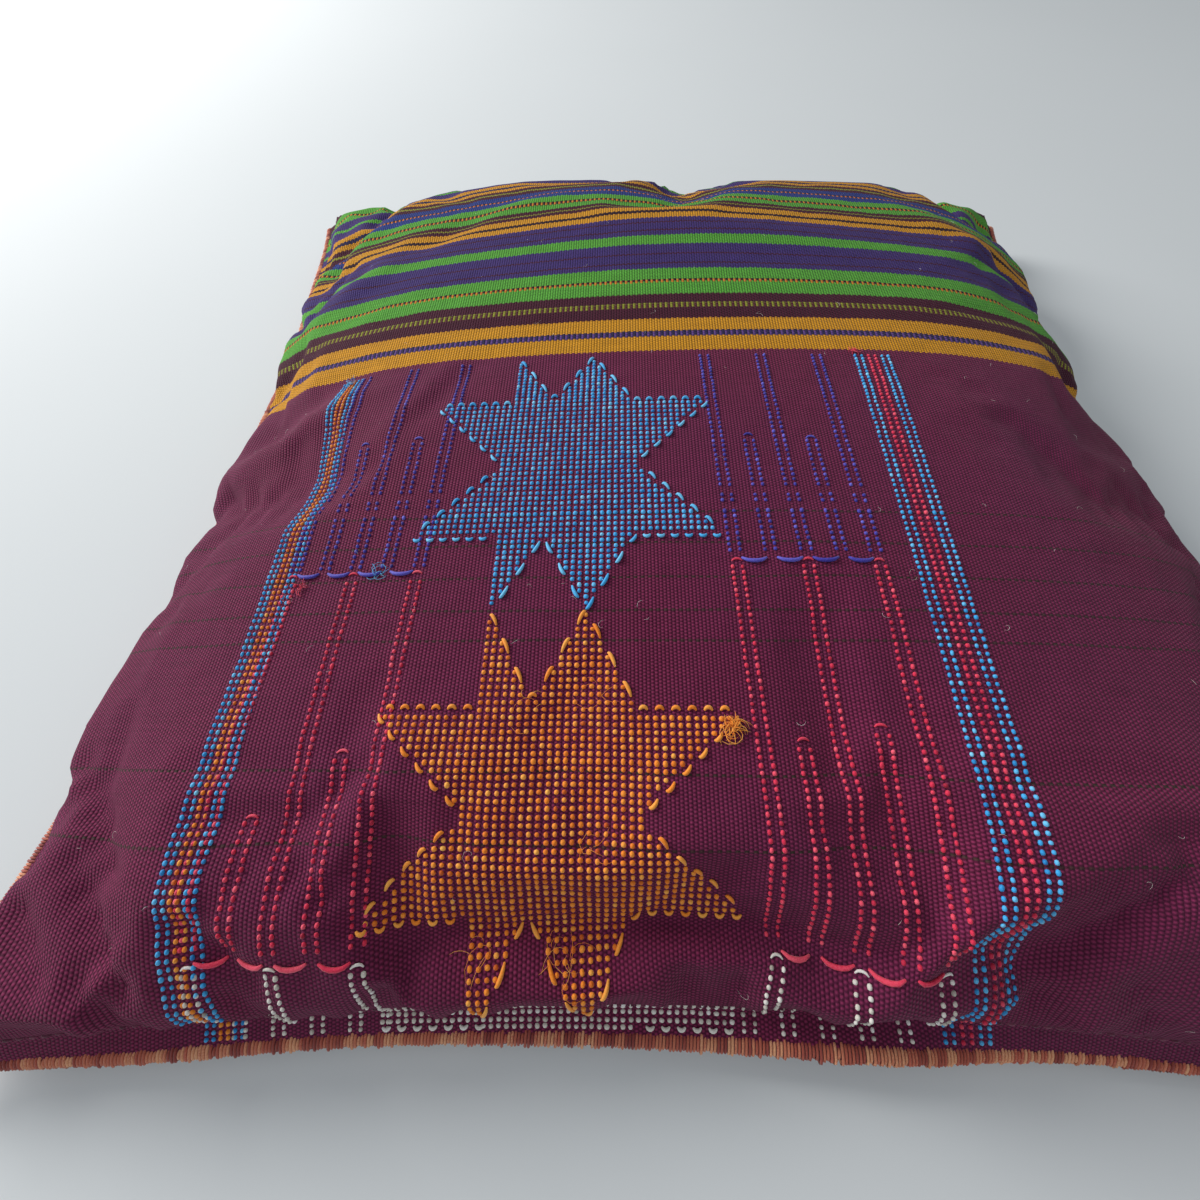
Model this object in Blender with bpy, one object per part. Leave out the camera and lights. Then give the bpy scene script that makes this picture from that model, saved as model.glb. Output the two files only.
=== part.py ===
"""A square floor cushion: a brocaded cover with an overcast flange, a rear zip and a stuffed inner pad.

Metres, +Z up. The cushion lies on the plane Z = 0, with its front edge towards -Y and its zip at +Y.
"""

import math

import bmesh
import bpy
from mathutils import Matrix, Vector

# The stuffed cover: the plan of its seam, and heights above the floor.
CORNER_HALF_WIDTH = 0.262
SIDE_PULL = 0.016
CROWN_HEIGHT = 0.084
SEAM_HEIGHT = 0.020
CORNER_SEAM_HEIGHT = 0.026
WIDEST_HEIGHT = 0.042
OVERHANG = 0.010
ZIP_SIDE_FLATTENED = 0.85
EAR_THICKNESS = 0.006
CROWN_FLATNESS = (1.9, 2.5)
CROWN_ROUNDNESS = (1.05, 0.56)
BASE_INSET = 0.022
ZIP_BASE_TIGHTENED = 0.75
BASE_RING_SHARES = (0.7, 0.35)
MITRE_STARTS = 0.80
CLOTH = 0.0012
PLY_GAP = 0.0003

# The flat border outside the seam on the front, left and right, and its overcast edge.
FLANGE_WIDTH = 0.014
FLANGE_DROP = 0.010
REAR_HEM_WIDTH = 0.0015
BINDING_WIDTH = 0.0042
BINDING_WALL = 0.0008
BINDING_GAP = 0.0005

# The pad inside the cover. It stands further off the zip, to clear the slider.
CASING = 0.0006
CASING_CLEARANCE = 0.0028
FILLING_CLEARANCE = 0.0025
ZIP_CLEARANCE = 0.0100

# The zip, which lies along X in the rear seam.
ZIP_LENGTH = 0.400
ZIP_HEIGHT = 0.024
ZIP_OPENING = 0.0072
ZIP_CLOSES = (0.001, 0.016)
ZIP_STRAIGHT_MARGIN = 0.005
TAPE = 0.0006
TAPE_WIDTH = 0.0080
ROW_PARTING = 0.0012
ROW_WIDTH = 0.0022
ROW_DEPTH = 0.0024
ROW_MARGIN = 0.008
STOP_LENGTH = 0.004
STOP_DEPTH = 0.0030
TOUCH_GAP = 0.0003
TAPE_STANDOFF = 0.0008

# The slider, with two lugs that hold the pull tab's pin.
SLIDER_LENGTH = 0.0095
SLIDER_WIDTH = 0.0086
SLIDER_PLATE = 0.0010
SLIDER_RUNNING_GAP = 0.0004
WEB_WIDTH = 0.0005
JOIN_OVERLAP = 0.0002
WEB_LENGTH = 0.0060
LUG_WIDTH = 0.0012
LUG_LENGTH = 0.0034
PIN_RADIUS = 0.0006
PIN_STANDOFF = 0.0021
PULL_WIDTH = 0.0036
PULL_LENGTH = 0.024
PULL_THICKNESS = 0.0014
EYE_RADIUS = 0.0016

# The mesh of the cloth shells.
POINTS_PER_SIDE = 14
WALL_RINGS = 3
CROWN_RINGS = 8
SIDES = 4
REAR = 2

# Worked out from the sizes above.
SEAM_DEPTH_AT_REAR = CORNER_HALF_WIDTH - SIDE_PULL
ZIP_DEPTH = SEAM_DEPTH_AT_REAR - CLOTH - TAPE_STANDOFF - TAPE / 2
ROWS_END = ZIP_LENGTH / 2 - ROW_MARGIN
SLIDER_REST = ROWS_END - SLIDER_LENGTH / 2


def clear_scene():
    for obj in list(bpy.data.objects):
        bpy.data.objects.remove(obj, do_unlink=True)


def material(name, colour, roughness, metallic=0.0):
    made = bpy.data.materials.new(name)
    made.use_nodes = True
    shader = made.node_tree.nodes["Principled BSDF"]
    shader.inputs["Base Color"].default_value = (*colour, 1.0)
    shader.inputs["Roughness"].default_value = roughness
    shader.inputs["Metallic"].default_value = metallic
    return made


def add_object(name, build, finish, location=(0.0, 0.0, 0.0), parent=None):
    """Turns a bmesh into an object with outward normals and its own material."""
    bmesh.ops.recalc_face_normals(build, faces=build.faces)
    mesh = bpy.data.meshes.new(name)
    build.to_mesh(mesh)
    build.free()
    mesh.materials.append(finish)
    mesh.shade_smooth()
    mesh.set_sharp_from_angle(angle=math.radians(40))
    obj = bpy.data.objects.new(name, mesh)
    obj.parent = parent
    obj.location = location
    bpy.context.scene.collection.objects.link(obj)
    return obj


def mix(first, second, share):
    return first + (second - first) * share


def smooth_step(low, high, value):
    share = min(1.0, max(0.0, (value - low) / (high - low)))
    return share * share * (3.0 - 2.0 * share)


def at_height(point, height):
    return Vector((point.x, point.y, height))


def raised(ring, height):
    return [at_height(point, point.z + height) for point in ring]


class Station:
    """One direction round the cushion: its point on the seam and the shape of the section there.

    Side 0 is the front, 1 the right, 2 the rear and 3 the left. Along runs from -1 to 1 between corners.
    """

    def __init__(self, side, along):
        reach = abs(along) * CORNER_HALF_WIDTH
        relaxed = along**2
        if side == REAR:
            relaxed = smooth_step(ZIP_LENGTH / 2 - ZIP_STRAIGHT_MARGIN, CORNER_HALF_WIDTH, reach)
        pull = SIDE_PULL * (1.0 - relaxed)
        turn = Matrix.Rotation(side * math.pi / 2, 3, "Z")
        self.seam = turn @ Vector((along * CORNER_HALF_WIDTH, pull - CORNER_HALF_WIDTH, 0.0))

        near_corner = smooth_step(MITRE_STARTS, 1.0, abs(along))
        edge_normal = turn @ Vector((0.0, -1.0, 0.0))
        self.outward = edge_normal.lerp(self.seam.normalized(), near_corner).normalized()
        self.mitre = 1.0 + (math.sqrt(2.0) - 1.0) * near_corner

        beyond_zip = reach - ZIP_LENGTH / 2
        self.on_zip = 1.0 - smooth_step(*ZIP_CLOSES, beyond_zip) if side == REAR else 0.0
        self.flange_way, self.flange_width = self.outward, FLANGE_WIDTH * self.mitre
        if side == REAR:
            at_corner = along == -1.0
            self.flange_way = Vector((1.0, 0.0, 0.0)) if at_corner else edge_normal
            self.flange_width = FLANGE_WIDTH if at_corner else REAR_HEM_WIDTH
        elif self.seam.y > 0.0:
            self.flange_way, self.flange_width = edge_normal, FLANGE_WIDTH

        fullness = 1.0 - abs(along) ** 4
        self.fullness = fullness
        self.seam_height = mix(CORNER_SEAM_HEIGHT, SEAM_HEIGHT, fullness)
        self.widest_height = mix(CORNER_SEAM_HEIGHT + EAR_THICKNESS, WIDEST_HEIGHT, fullness)
        self.overhang = OVERHANG * fullness * (1.0 - ZIP_SIDE_FLATTENED * self.on_zip)
        self.zip_side = fullness if side == REAR else 0.0
        self.base_inset = BASE_INSET * (1.0 - ZIP_BASE_TIGHTENED * self.zip_side)

    def crown_rise(self, share_out):
        """The share of the crown's height at a share of the way out, thinner towards a corner."""
        round_here = mix(1.0, self.fullness, share_out**2)
        flatness = mix(*CROWN_FLATNESS, round_here)
        roundness = mix(*CROWN_ROUNDNESS, round_here)
        return (1.0 - share_out**flatness) ** roundness

    def edge_height(self, zip_offset):
        """The height of a panel's edge: the seam's, but clear of the zip's middle by zip_offset."""
        return mix(self.seam_height, ZIP_HEIGHT + zip_offset, self.on_zip)


STATIONS = [
    Station(side, math.sin(math.pi / 2 * (2.0 * step / POINTS_PER_SIDE - 1.0)))
    for side in range(SIDES)
    for step in range(POINTS_PER_SIDE)
]


def upper_rings(inset, zip_offset=0.0, zip_clearance=0.0):
    """Rings from the seam, out over the widest line and up to the crown, moved inward by inset."""
    rings = []
    for step in range(WALL_RINGS):
        turn = math.pi / 2 * step / WALL_RINGS
        ring = []
        for station in STATIONS:
            low = station.edge_height(zip_offset)
            height = mix(station.widest_height, low, math.cos(turn))
            held_in = inset * station.mitre + zip_clearance * station.zip_side
            reach = station.overhang * math.sin(turn) - held_in
            ring.append(at_height(station.seam + station.outward * reach, height))
        rings.append(ring)
    for step in range(CROWN_RINGS):
        share_out = math.cos(math.pi / 2 * step / CROWN_RINGS)
        ring = []
        for station in STATIONS:
            reach = station.overhang - inset * station.mitre - zip_clearance * station.zip_side
            height = mix(station.widest_height, CROWN_HEIGHT - inset, station.crown_rise(share_out))
            ring.append(at_height((station.seam + station.outward * reach) * share_out, height))
        rings.append(ring)
    return rings


def lower_rings(inset, zip_offset=0.0, zip_clearance=0.0):
    """Rings from the seam, down round the lower edge and in across the flat base, moved inward by inset."""
    rings = []
    for step in range(WALL_RINGS + 1):
        turn = math.pi / 2 * step / WALL_RINGS
        ring = []
        for station in STATIONS:
            low = station.edge_height(zip_offset)
            held_in = inset * station.mitre + zip_clearance * station.zip_side
            reach = held_in + station.base_inset * (1.0 - math.cos(turn))
            ring.append(at_height(station.seam - station.outward * reach, mix(low, inset, math.sin(turn))))
        rings.append(ring)
    for share in BASE_RING_SHARES:
        rings.append([at_height(point * share, inset) for point in rings[WALL_RINGS]])
    return rings


def flange_rim(zip_offset=0.0):
    """The rim of the flange, which droops from the seam towards the floor."""
    ring = []
    for station in STATIONS:
        droop = FLANGE_DROP * min(1.0, station.flange_width / FLANGE_WIDTH)
        rim = station.seam + station.flange_way * station.flange_width
        ring.append(at_height(rim, station.edge_height(zip_offset) - droop))
    return ring


def bridge(build, first, second):
    """Joins two rings with triangles that all lean the same way, so that nested shells stay apart."""
    for index, start in enumerate(first):
        after = (index + 1) % len(first)
        build.faces.new((start, first[after], second[after]))
        build.faces.new((start, second[after], second[index]))


def add_skin(build, rings, pole_height):
    """Joins successive rings with quads and closes the last one on a pole. Returns the first ring."""
    rows = [[build.verts.new(point) for point in ring] for ring in rings]
    for row, following in zip(rows, rows[1:]):
        bridge(build, row, following)
    pole = build.verts.new((0.0, 0.0, pole_height))
    last = rows[-1]
    for index, start in enumerate(last):
        build.faces.new((start, last[(index + 1) % len(last)], pole))
    return rows[0]


def closed_shell(outer_rings, outer_pole, inner_rings, inner_pole):
    """Two skins, each closed on its pole, and joined round the rim."""
    build = bmesh.new()
    outer = add_skin(build, outer_rings, outer_pole)
    inner = add_skin(build, inner_rings, inner_pole)
    bridge(build, outer, inner)
    return build


def make_top_panel(finish):
    outer = upper_rings(0.0, ZIP_OPENING)
    inner = upper_rings(CLOTH, ZIP_OPENING)
    rim = flange_rim(ZIP_OPENING)
    under = [raised(rim, -CLOTH), raised(inner[0], -CLOTH), *inner[1:]]
    build = closed_shell([rim, *outer], CROWN_HEIGHT, under, CROWN_HEIGHT - CLOTH)
    add_object("top_panel", build, finish)


def make_bottom_panel(finish):
    outer = lower_rings(0.0, -ZIP_OPENING)
    inner = lower_rings(CLOTH, -ZIP_OPENING)
    rim = flange_rim(-ZIP_OPENING)
    top = -CLOTH - PLY_GAP
    under = [raised(rim, top - CLOTH), raised(outer[0], top - CLOTH), *outer[1:]]
    over = [raised(rim, top), raised(inner[0], top), *inner[1:]]
    add_object("bottom_panel", closed_shell(under, 0.0, over, CLOTH), finish)


def binding_section(station):
    """The C-shaped section of the overcast edge, open towards the cushion."""
    slope = FLANGE_DROP / station.flange_width
    rim = station.seam + station.flange_way * station.flange_width
    near = rim + station.flange_way * BINDING_GAP
    far = rim + station.flange_way * (BINDING_GAP + BINDING_WALL)
    root = rim - station.flange_way * BINDING_WIDTH
    top = station.seam_height - FLANGE_DROP + BINDING_GAP
    low = top - 2 * CLOTH - PLY_GAP - 2 * BINDING_GAP
    rise = slope * BINDING_WIDTH
    return [
        at_height(root, top + rise),
        at_height(near, top),
        at_height(near, low),
        at_height(root, low + rise),
        at_height(root, low + rise - BINDING_WALL),
        at_height(far, low - BINDING_WALL),
        at_height(far, top + BINDING_WALL),
        at_height(root, top + rise + BINDING_WALL),
    ]


def make_binding(finish):
    """Thread wrapped over the rim, from the left rear corner round the front to the right rear corner."""
    path = STATIONS[3 * POINTS_PER_SIDE + 1 :] + STATIONS[: 2 * POINTS_PER_SIDE]
    build = bmesh.new()
    rows = [[build.verts.new(point) for point in binding_section(station)] for station in path]
    for row, following in zip(rows, rows[1:]):
        bridge(build, row, following)
    for row in (rows[0], rows[-1]):
        for cap in ((0, 1, 6, 7), (1, 2, 5, 6), (2, 3, 4, 5)):
            build.faces.new([row[index] for index in cap])
    add_object("edge_binding", build, finish)


def make_pad(calico, fibre):
    """The calico casing in two halves that meet at the seam, and the stuffing inside them."""
    outside = CLOTH + CASING_CLEARANCE
    inside = outside + CASING
    core = inside + FILLING_CLEARANCE
    lift = TOUCH_GAP / 2

    outer = upper_rings(outside, lift, ZIP_CLEARANCE)
    inner = upper_rings(inside, lift, ZIP_CLEARANCE)
    outer[0] = raised(upper_rings(outside, 0.0, ZIP_CLEARANCE)[0], lift)
    inner[0] = raised(upper_rings(inside, 0.0, ZIP_CLEARANCE)[0], lift)
    build = closed_shell(outer, CROWN_HEIGHT - outside, inner, CROWN_HEIGHT - inside)
    add_object("insert_casing_top", build, calico)

    outer = lower_rings(outside, 0.0, ZIP_CLEARANCE)
    inner = lower_rings(inside, 0.0, ZIP_CLEARANCE)
    outer[0] = raised(outer[0], -lift)
    inner[0] = raised(inner[0], -lift)
    add_object("insert_casing_bottom", closed_shell(outer, outside, inner, inside), calico)

    build = bmesh.new()
    upper = upper_rings(core, 0.0, ZIP_CLEARANCE)
    lower = lower_rings(core, 0.0, ZIP_CLEARANCE)
    upper_start = add_skin(build, upper, CROWN_HEIGHT - core)
    lower_start = add_skin(build, lower, core)
    bmesh.ops.weld_verts(build, targetmap=dict(zip(lower_start, upper_start)))
    add_object("filling", build, fibre)


def add_box(build, low, high):
    corners = [
        build.verts.new((x, y, z))
        for x in (low[0], high[0])
        for y in (low[1], high[1])
        for z in (low[2], high[2])
    ]
    for face in ((0, 1, 3, 2), (4, 6, 7, 5), (0, 4, 5, 1), (2, 3, 7, 6), (0, 2, 6, 4), (1, 5, 7, 3)):
        build.faces.new([corners[index] for index in face])


def zip_bar(name, finish, start, end, depth, nearest, furthest, side):
    """A bar along the zip, between two distances from its middle. Side is 1 above it and -1 below."""
    heights = sorted((ZIP_HEIGHT + side * nearest, ZIP_HEIGHT + side * furthest))
    build = bmesh.new()
    add_box(build, (start, ZIP_DEPTH - depth / 2, heights[0]), (end, ZIP_DEPTH + depth / 2, heights[1]))
    return add_object(name, build, finish)


def make_zip(tape, teeth, metal):
    row_near = ROW_PARTING / 2
    row_far = row_near + ROW_WIDTH
    tape_near = row_far + TOUCH_GAP
    tape_far = tape_near + TAPE_WIDTH
    for place, side in (("upper", 1), ("lower", -1)):
        end = ZIP_LENGTH / 2
        zip_bar(f"zip_tape_{place}", tape, -end, end, TAPE, tape_near, tape_far, side)
        zip_bar(f"zip_teeth_{place}", teeth, -ROWS_END, ROWS_END, ROW_DEPTH, row_near, row_far, side)
        start = ROWS_END + TOUCH_GAP
        stop = f"zip_top_stop_{place}"
        zip_bar(stop, metal, start, start + STOP_LENGTH, STOP_DEPTH, row_near, row_far, side)
    start = -ROWS_END - TOUCH_GAP
    zip_bar("zip_bottom_stop", metal, start - STOP_LENGTH, start, STOP_DEPTH, -row_far, row_far, 1)


def apply_union(target, cutter_boxes):
    """Joins further boxes, given as low and high corners, to an object as one body."""
    for index, (low, high) in enumerate(cutter_boxes):
        build = bmesh.new()
        add_box(build, low, high)
        helper = add_object(f"{target.name}_joined_{index}", build, target.data.materials[0])
        helper.parent = target.parent
        helper.location = target.location
        helper.hide_render = True
        helper.display_type = "WIRE"
        union = target.modifiers.new(f"join_{index}", "BOOLEAN")
        union.operation = "UNION"
        union.object = helper


def make_slider(metal, brass):
    """The slider and its pull tab. Each has its origin on its own joint: the slide, and the tab's pin."""
    plate_near = ROW_DEPTH / 2 + SLIDER_RUNNING_GAP
    plate_far = plate_near + SLIDER_PLATE
    lip_near = TAPE / 2 + SLIDER_RUNNING_GAP
    row_clear = ROW_PARTING / 2 + ROW_WIDTH + SLIDER_RUNNING_GAP
    half_length = SLIDER_LENGTH / 2
    half_width = SLIDER_WIDTH / 2
    pin_depth = plate_far + PIN_STANDOFF
    lug_near = PULL_WIDTH / 2 + TOUCH_GAP
    lug_far = lug_near + LUG_WIDTH

    build = bmesh.new()
    add_box(build, (-half_length, plate_near, -half_width), (half_length, plate_far, half_width))
    slider = add_object("zip_slider", build, metal, (SLIDER_REST, ZIP_DEPTH, ZIP_HEIGHT))
    added = [((-half_length, -plate_far, -half_width), (half_length, -plate_near, half_width))]
    web = Vector((WEB_LENGTH / 2, plate_far, WEB_WIDTH / 2))
    added.append((-web, web))
    for side in (-1, 1):
        lip = sorted((side * row_clear, side * half_width))
        added.append(((-half_length, lip_near, lip[0]), (half_length, plate_near + JOIN_OVERLAP, lip[1])))
        added.append(((-half_length, -plate_near - JOIN_OVERLAP, lip[0]), (half_length, -lip_near, lip[1])))
        lug = sorted((side * lug_near, side * lug_far))
        top = pin_depth + 2 * PIN_RADIUS
        added.append(((-LUG_LENGTH / 2, plate_near + JOIN_OVERLAP, lug[0]), (LUG_LENGTH / 2, top, lug[1])))
    apply_union(slider, added)

    build = bmesh.new()
    place = Matrix.Translation((0.0, pin_depth, 0.0))
    rod = {"radius1": PIN_RADIUS, "radius2": PIN_RADIUS, "depth": 2 * lug_near + LUG_WIDTH}
    bmesh.ops.create_cone(build, cap_ends=True, segments=12, matrix=place, **rod)
    pin = add_object("slider_pin", build, metal, slider.location)
    pin.hide_render = True
    pin.display_type = "WIRE"
    union = slider.modifiers.new("join_pin", "BOOLEAN")
    union.operation = "UNION"
    union.object = pin

    hinge = (SLIDER_REST, ZIP_DEPTH + pin_depth, ZIP_HEIGHT)
    build = bmesh.new()
    eye = {"radius1": EYE_RADIUS, "radius2": EYE_RADIUS, "depth": PULL_WIDTH}
    bmesh.ops.create_cone(build, cap_ends=True, segments=16, **eye)
    tab = add_object("zip_pull_tab", build, brass, hinge)
    low = (0.0, -PULL_THICKNESS / 2, -PULL_WIDTH / 2)
    high = (PULL_LENGTH, PULL_THICKNESS / 2, PULL_WIDTH / 2)
    apply_union(tab, [(low, high)])
    build = bmesh.new()
    bore = PIN_RADIUS + TOUCH_GAP
    hole = {"radius1": bore, "radius2": bore, "depth": 2 * PULL_WIDTH}
    bmesh.ops.create_cone(build, cap_ends=True, segments=12, **hole)
    bore_cutter = add_object("pull_bore", build, brass, hinge)
    bore_cutter.hide_render = True
    bore_cutter.display_type = "WIRE"
    cut = tab.modifiers.new("bore", "BOOLEAN")
    cut.object = bore_cutter


clear_scene()
make_top_panel(material("brocade", (0.13, 0.02, 0.06), 0.9))
make_bottom_panel(material("backing", (0.10, 0.02, 0.05), 0.92))
make_binding(material("overcast_thread", (0.45, 0.16, 0.10), 0.85))
make_pad(material("calico", (0.75, 0.70, 0.60), 0.95), material("fibre", (0.85, 0.85, 0.82), 1.0))
make_zip(
    material("zip_tape", (0.09, 0.02, 0.05), 0.85),
    material("zip_teeth", (0.10, 0.03, 0.06), 0.45),
    material("zip_metal", (0.55, 0.50, 0.40), 0.35, 1.0),
)
make_slider(
    material("slider_metal", (0.50, 0.45, 0.35), 0.35, 1.0),
    material("pull_metal", (0.55, 0.48, 0.34), 0.3, 1.0),
)
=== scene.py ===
"""The floor cushion as it looks: a simulated brocade cover with its motifs, overcast flange, zip and inner pad.

Metres, +Z up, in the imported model's frame. Flat cloth coordinates are u, left to right, and v, front to back.
"""

import math

import bmesh
import bpy
import numpy as np
from mathutils import Matrix, Vector


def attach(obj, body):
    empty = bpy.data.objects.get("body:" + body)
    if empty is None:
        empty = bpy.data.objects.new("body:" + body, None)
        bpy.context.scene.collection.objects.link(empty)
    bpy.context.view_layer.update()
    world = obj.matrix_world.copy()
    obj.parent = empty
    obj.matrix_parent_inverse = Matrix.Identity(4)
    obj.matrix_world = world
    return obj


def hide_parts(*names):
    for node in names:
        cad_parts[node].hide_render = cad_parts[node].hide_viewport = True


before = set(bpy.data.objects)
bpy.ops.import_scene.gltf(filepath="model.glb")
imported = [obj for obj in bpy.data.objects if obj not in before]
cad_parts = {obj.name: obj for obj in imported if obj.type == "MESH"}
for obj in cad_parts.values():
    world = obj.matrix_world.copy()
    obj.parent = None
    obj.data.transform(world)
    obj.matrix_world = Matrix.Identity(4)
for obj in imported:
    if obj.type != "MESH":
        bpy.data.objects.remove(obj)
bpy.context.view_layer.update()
rng = np.random.default_rng(46)

# The cut cover and the shape that its seam is drawn to.
CLOTH_SIDE = 0.545
HALF = CLOTH_SIDE / 2
CORNER = 0.262
SIDE_PULL = 0.016
SEAM_HEIGHT = 0.020
CORNER_SEAM_HEIGHT = 0.026
FLANGE = 0.017
FLANGE_SLOPE = 20
FLANGE_DROP = 0.00425
DROP_SLOPE = math.radians(74)
ROLL = 0.0035
CLOTH = 0.0012
PLY_GAP = 0.0003
ZIP_HEIGHT = 0.024
ZIP_OPENING = 0.0072
ZIP_DEPTH = 0.2437
ZIP_CLOSES = (0.197, 0.213)

# The simulation's grid, and how far the stuffing has settled since.
CELLS = 64
FRAMES = 50
GATHERED_BY = 20
FINE = 3
SETTLED_ABOVE = 0.032
FLANGE_CELLS = 2

# The weave, and where rows of the motifs fall on the cloth.
RIB = 0.00142
PICK = 0.00135
COLUMNS = 46
STAR_MIDDLE = -0.054
STAR_WIDTH = 0.1304
MARKED_ROWS = (0, 13, 27, 41, 54, 67.5, 81, 95, 109.5)
MARKED_PLACES = (-0.2672, -0.2329, -0.1938, -0.1563, -0.1190, -0.0843, -0.0473, -0.0089, 0.0236)
STRIPES_START = 0.0265


# ---------------------------------------------------------------- helpers


def smooth_step(low, high, value):
    share = np.clip((value - low) / (high - low), 0.0, 1.0)
    return share * share * (3.0 - 2.0 * share)


def new_mesh(name, points, *face_sets):
    """A mesh from an array of points and arrays of faces with the same number of corners."""
    mesh = bpy.data.meshes.new(name)
    face_sets = [np.asarray(faces, np.int32) for faces in face_sets if len(faces)]
    corners = np.concatenate([faces.ravel() for faces in face_sets])
    sizes = np.concatenate([np.full(len(faces), faces.shape[1]) for faces in face_sets])
    starts = np.concatenate([[0], np.cumsum(sizes)[:-1]])
    mesh.vertices.add(len(points))
    mesh.vertices.foreach_set("co", np.asarray(points, np.float32).ravel())
    mesh.loops.add(len(corners))
    mesh.loops.foreach_set("vertex_index", corners.astype(np.int32))
    mesh.polygons.add(len(sizes))
    mesh.polygons.foreach_set("loop_start", starts.astype(np.int32))
    mesh.update(calc_edges=True)
    mesh.validate()
    mesh.polygons.foreach_set("use_smooth", np.ones(len(mesh.polygons), bool))
    return mesh


def flat_square(name, half):
    """A single square face on the plane Z = 0."""
    corners = ((-half, -half, 0), (half, -half, 0), (half, half, 0), (-half, half, 0))
    return new_mesh(name, corners, ((0, 1, 2, 3),))


def add_piece(name, mesh, finish, body, slot, *nodes):
    piece = bpy.data.objects.new(name, mesh)
    mesh.materials.append(finish)
    bpy.context.scene.collection.objects.link(piece)
    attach(piece, body)
    if nodes:
        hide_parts(*nodes)
    return piece


def set_uv(mesh, per_vertex, name="cloth"):
    layer = mesh.uv_layers.new(name=name)
    corners = np.empty(len(mesh.loops), np.int32)
    mesh.loops.foreach_get("vertex_index", corners)
    layer.data.foreach_set("uv", per_vertex[corners].astype(np.float32).ravel())


def set_tone(mesh, per_vertex):
    layer = mesh.attributes.new("tone", "FLOAT", "POINT")
    layer.data.foreach_set("value", np.asarray(per_vertex, np.float32))


def grid_faces(rows, columns, start=0, flip=False):
    index = np.arange(rows * columns).reshape(rows, columns) + start
    faces = np.stack([index[:-1, :-1], index[:-1, 1:], index[1:, 1:], index[1:, :-1]], -1).reshape(-1, 4)
    return faces[:, ::-1] if flip else faces


def rim_of(rows, columns):
    """The indices round the edge of a grid, anticlockwise seen from above."""
    index = np.arange(rows * columns).reshape(rows, columns)
    return np.concatenate([index[0, :-1], index[:-1, -1], index[-1, :0:-1], index[:0:-1, 0]])


def thick_sheet(name, upper, lower, uv):
    """One closed body between two grids of points of the same size."""
    rows, columns = upper.shape[:2]
    count = rows * columns
    points = np.concatenate([upper.reshape(-1, 3), lower.reshape(-1, 3)])
    rim = rim_of(rows, columns)
    after = np.roll(rim, -1)
    band = np.stack([rim, rim + count, after + count, after], -1)
    faces = np.concatenate([grid_faces(rows, columns), grid_faces(rows, columns, count, True), band])
    mesh = new_mesh(name, points, faces)
    set_uv(mesh, np.concatenate([uv.reshape(-1, 2)] * 2))
    return mesh


def tubes(paths, radii, sides=6, flatten=1.0, normals=None, tones=None):
    """Closed tubes along paths, which are arrays of points. Returns points, quads, triangles and tones."""
    points, quads, triangles, shades = [], [], [], []
    count = 0
    turns = 2 * math.pi * np.arange(sides) / sides
    for number, path in enumerate(paths):
        path = np.asarray(path, float)
        radius = np.broadcast_to(np.asarray(radii[number], float), (len(path),))
        along = np.gradient(path, axis=0)
        along /= np.linalg.norm(along, axis=1, keepdims=True) + 1e-12
        up = np.array((0.0, 0.0, 1.0)) if normals is None else np.asarray(normals[number], float)
        up = np.broadcast_to(up, path.shape)
        side = np.cross(along, up)
        side /= np.linalg.norm(side, axis=1, keepdims=True) + 1e-12
        lift = np.cross(side, along)
        cosine, sine = np.cos(turns)[None, :, None], np.sin(turns)[None, :, None]
        ring = side[:, None] * cosine + flatten * lift[:, None] * sine
        ring = path[:, None] + ring * radius[:, None, None]
        size = len(path) * sides
        index = np.arange(size).reshape(len(path), sides) + count
        following = np.roll(index, -1, axis=1)
        quads.append(np.stack([index[:-1], following[:-1], following[1:], index[1:]], -1).reshape(-1, 4))
        first, last = count + size, count + size + 1
        triangles.append(np.stack([np.full(sides, first), following[0], index[0]], -1))
        triangles.append(np.stack([np.full(sides, last), index[-1], following[-1]], -1))
        ends = np.stack([path[0] - along[0] * radius[0] * 0.5, path[-1] + along[-1] * radius[-1] * 0.5])
        points += [ring.reshape(-1, 3), ends]
        shades.append(np.full(size + 2, 0.5 if tones is None else tones[number]))
        count += size + 2
    return np.concatenate(points), np.concatenate(quads), np.concatenate(triangles), np.concatenate(shades)


# ---------------------------------------------------------------- node materials


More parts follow.
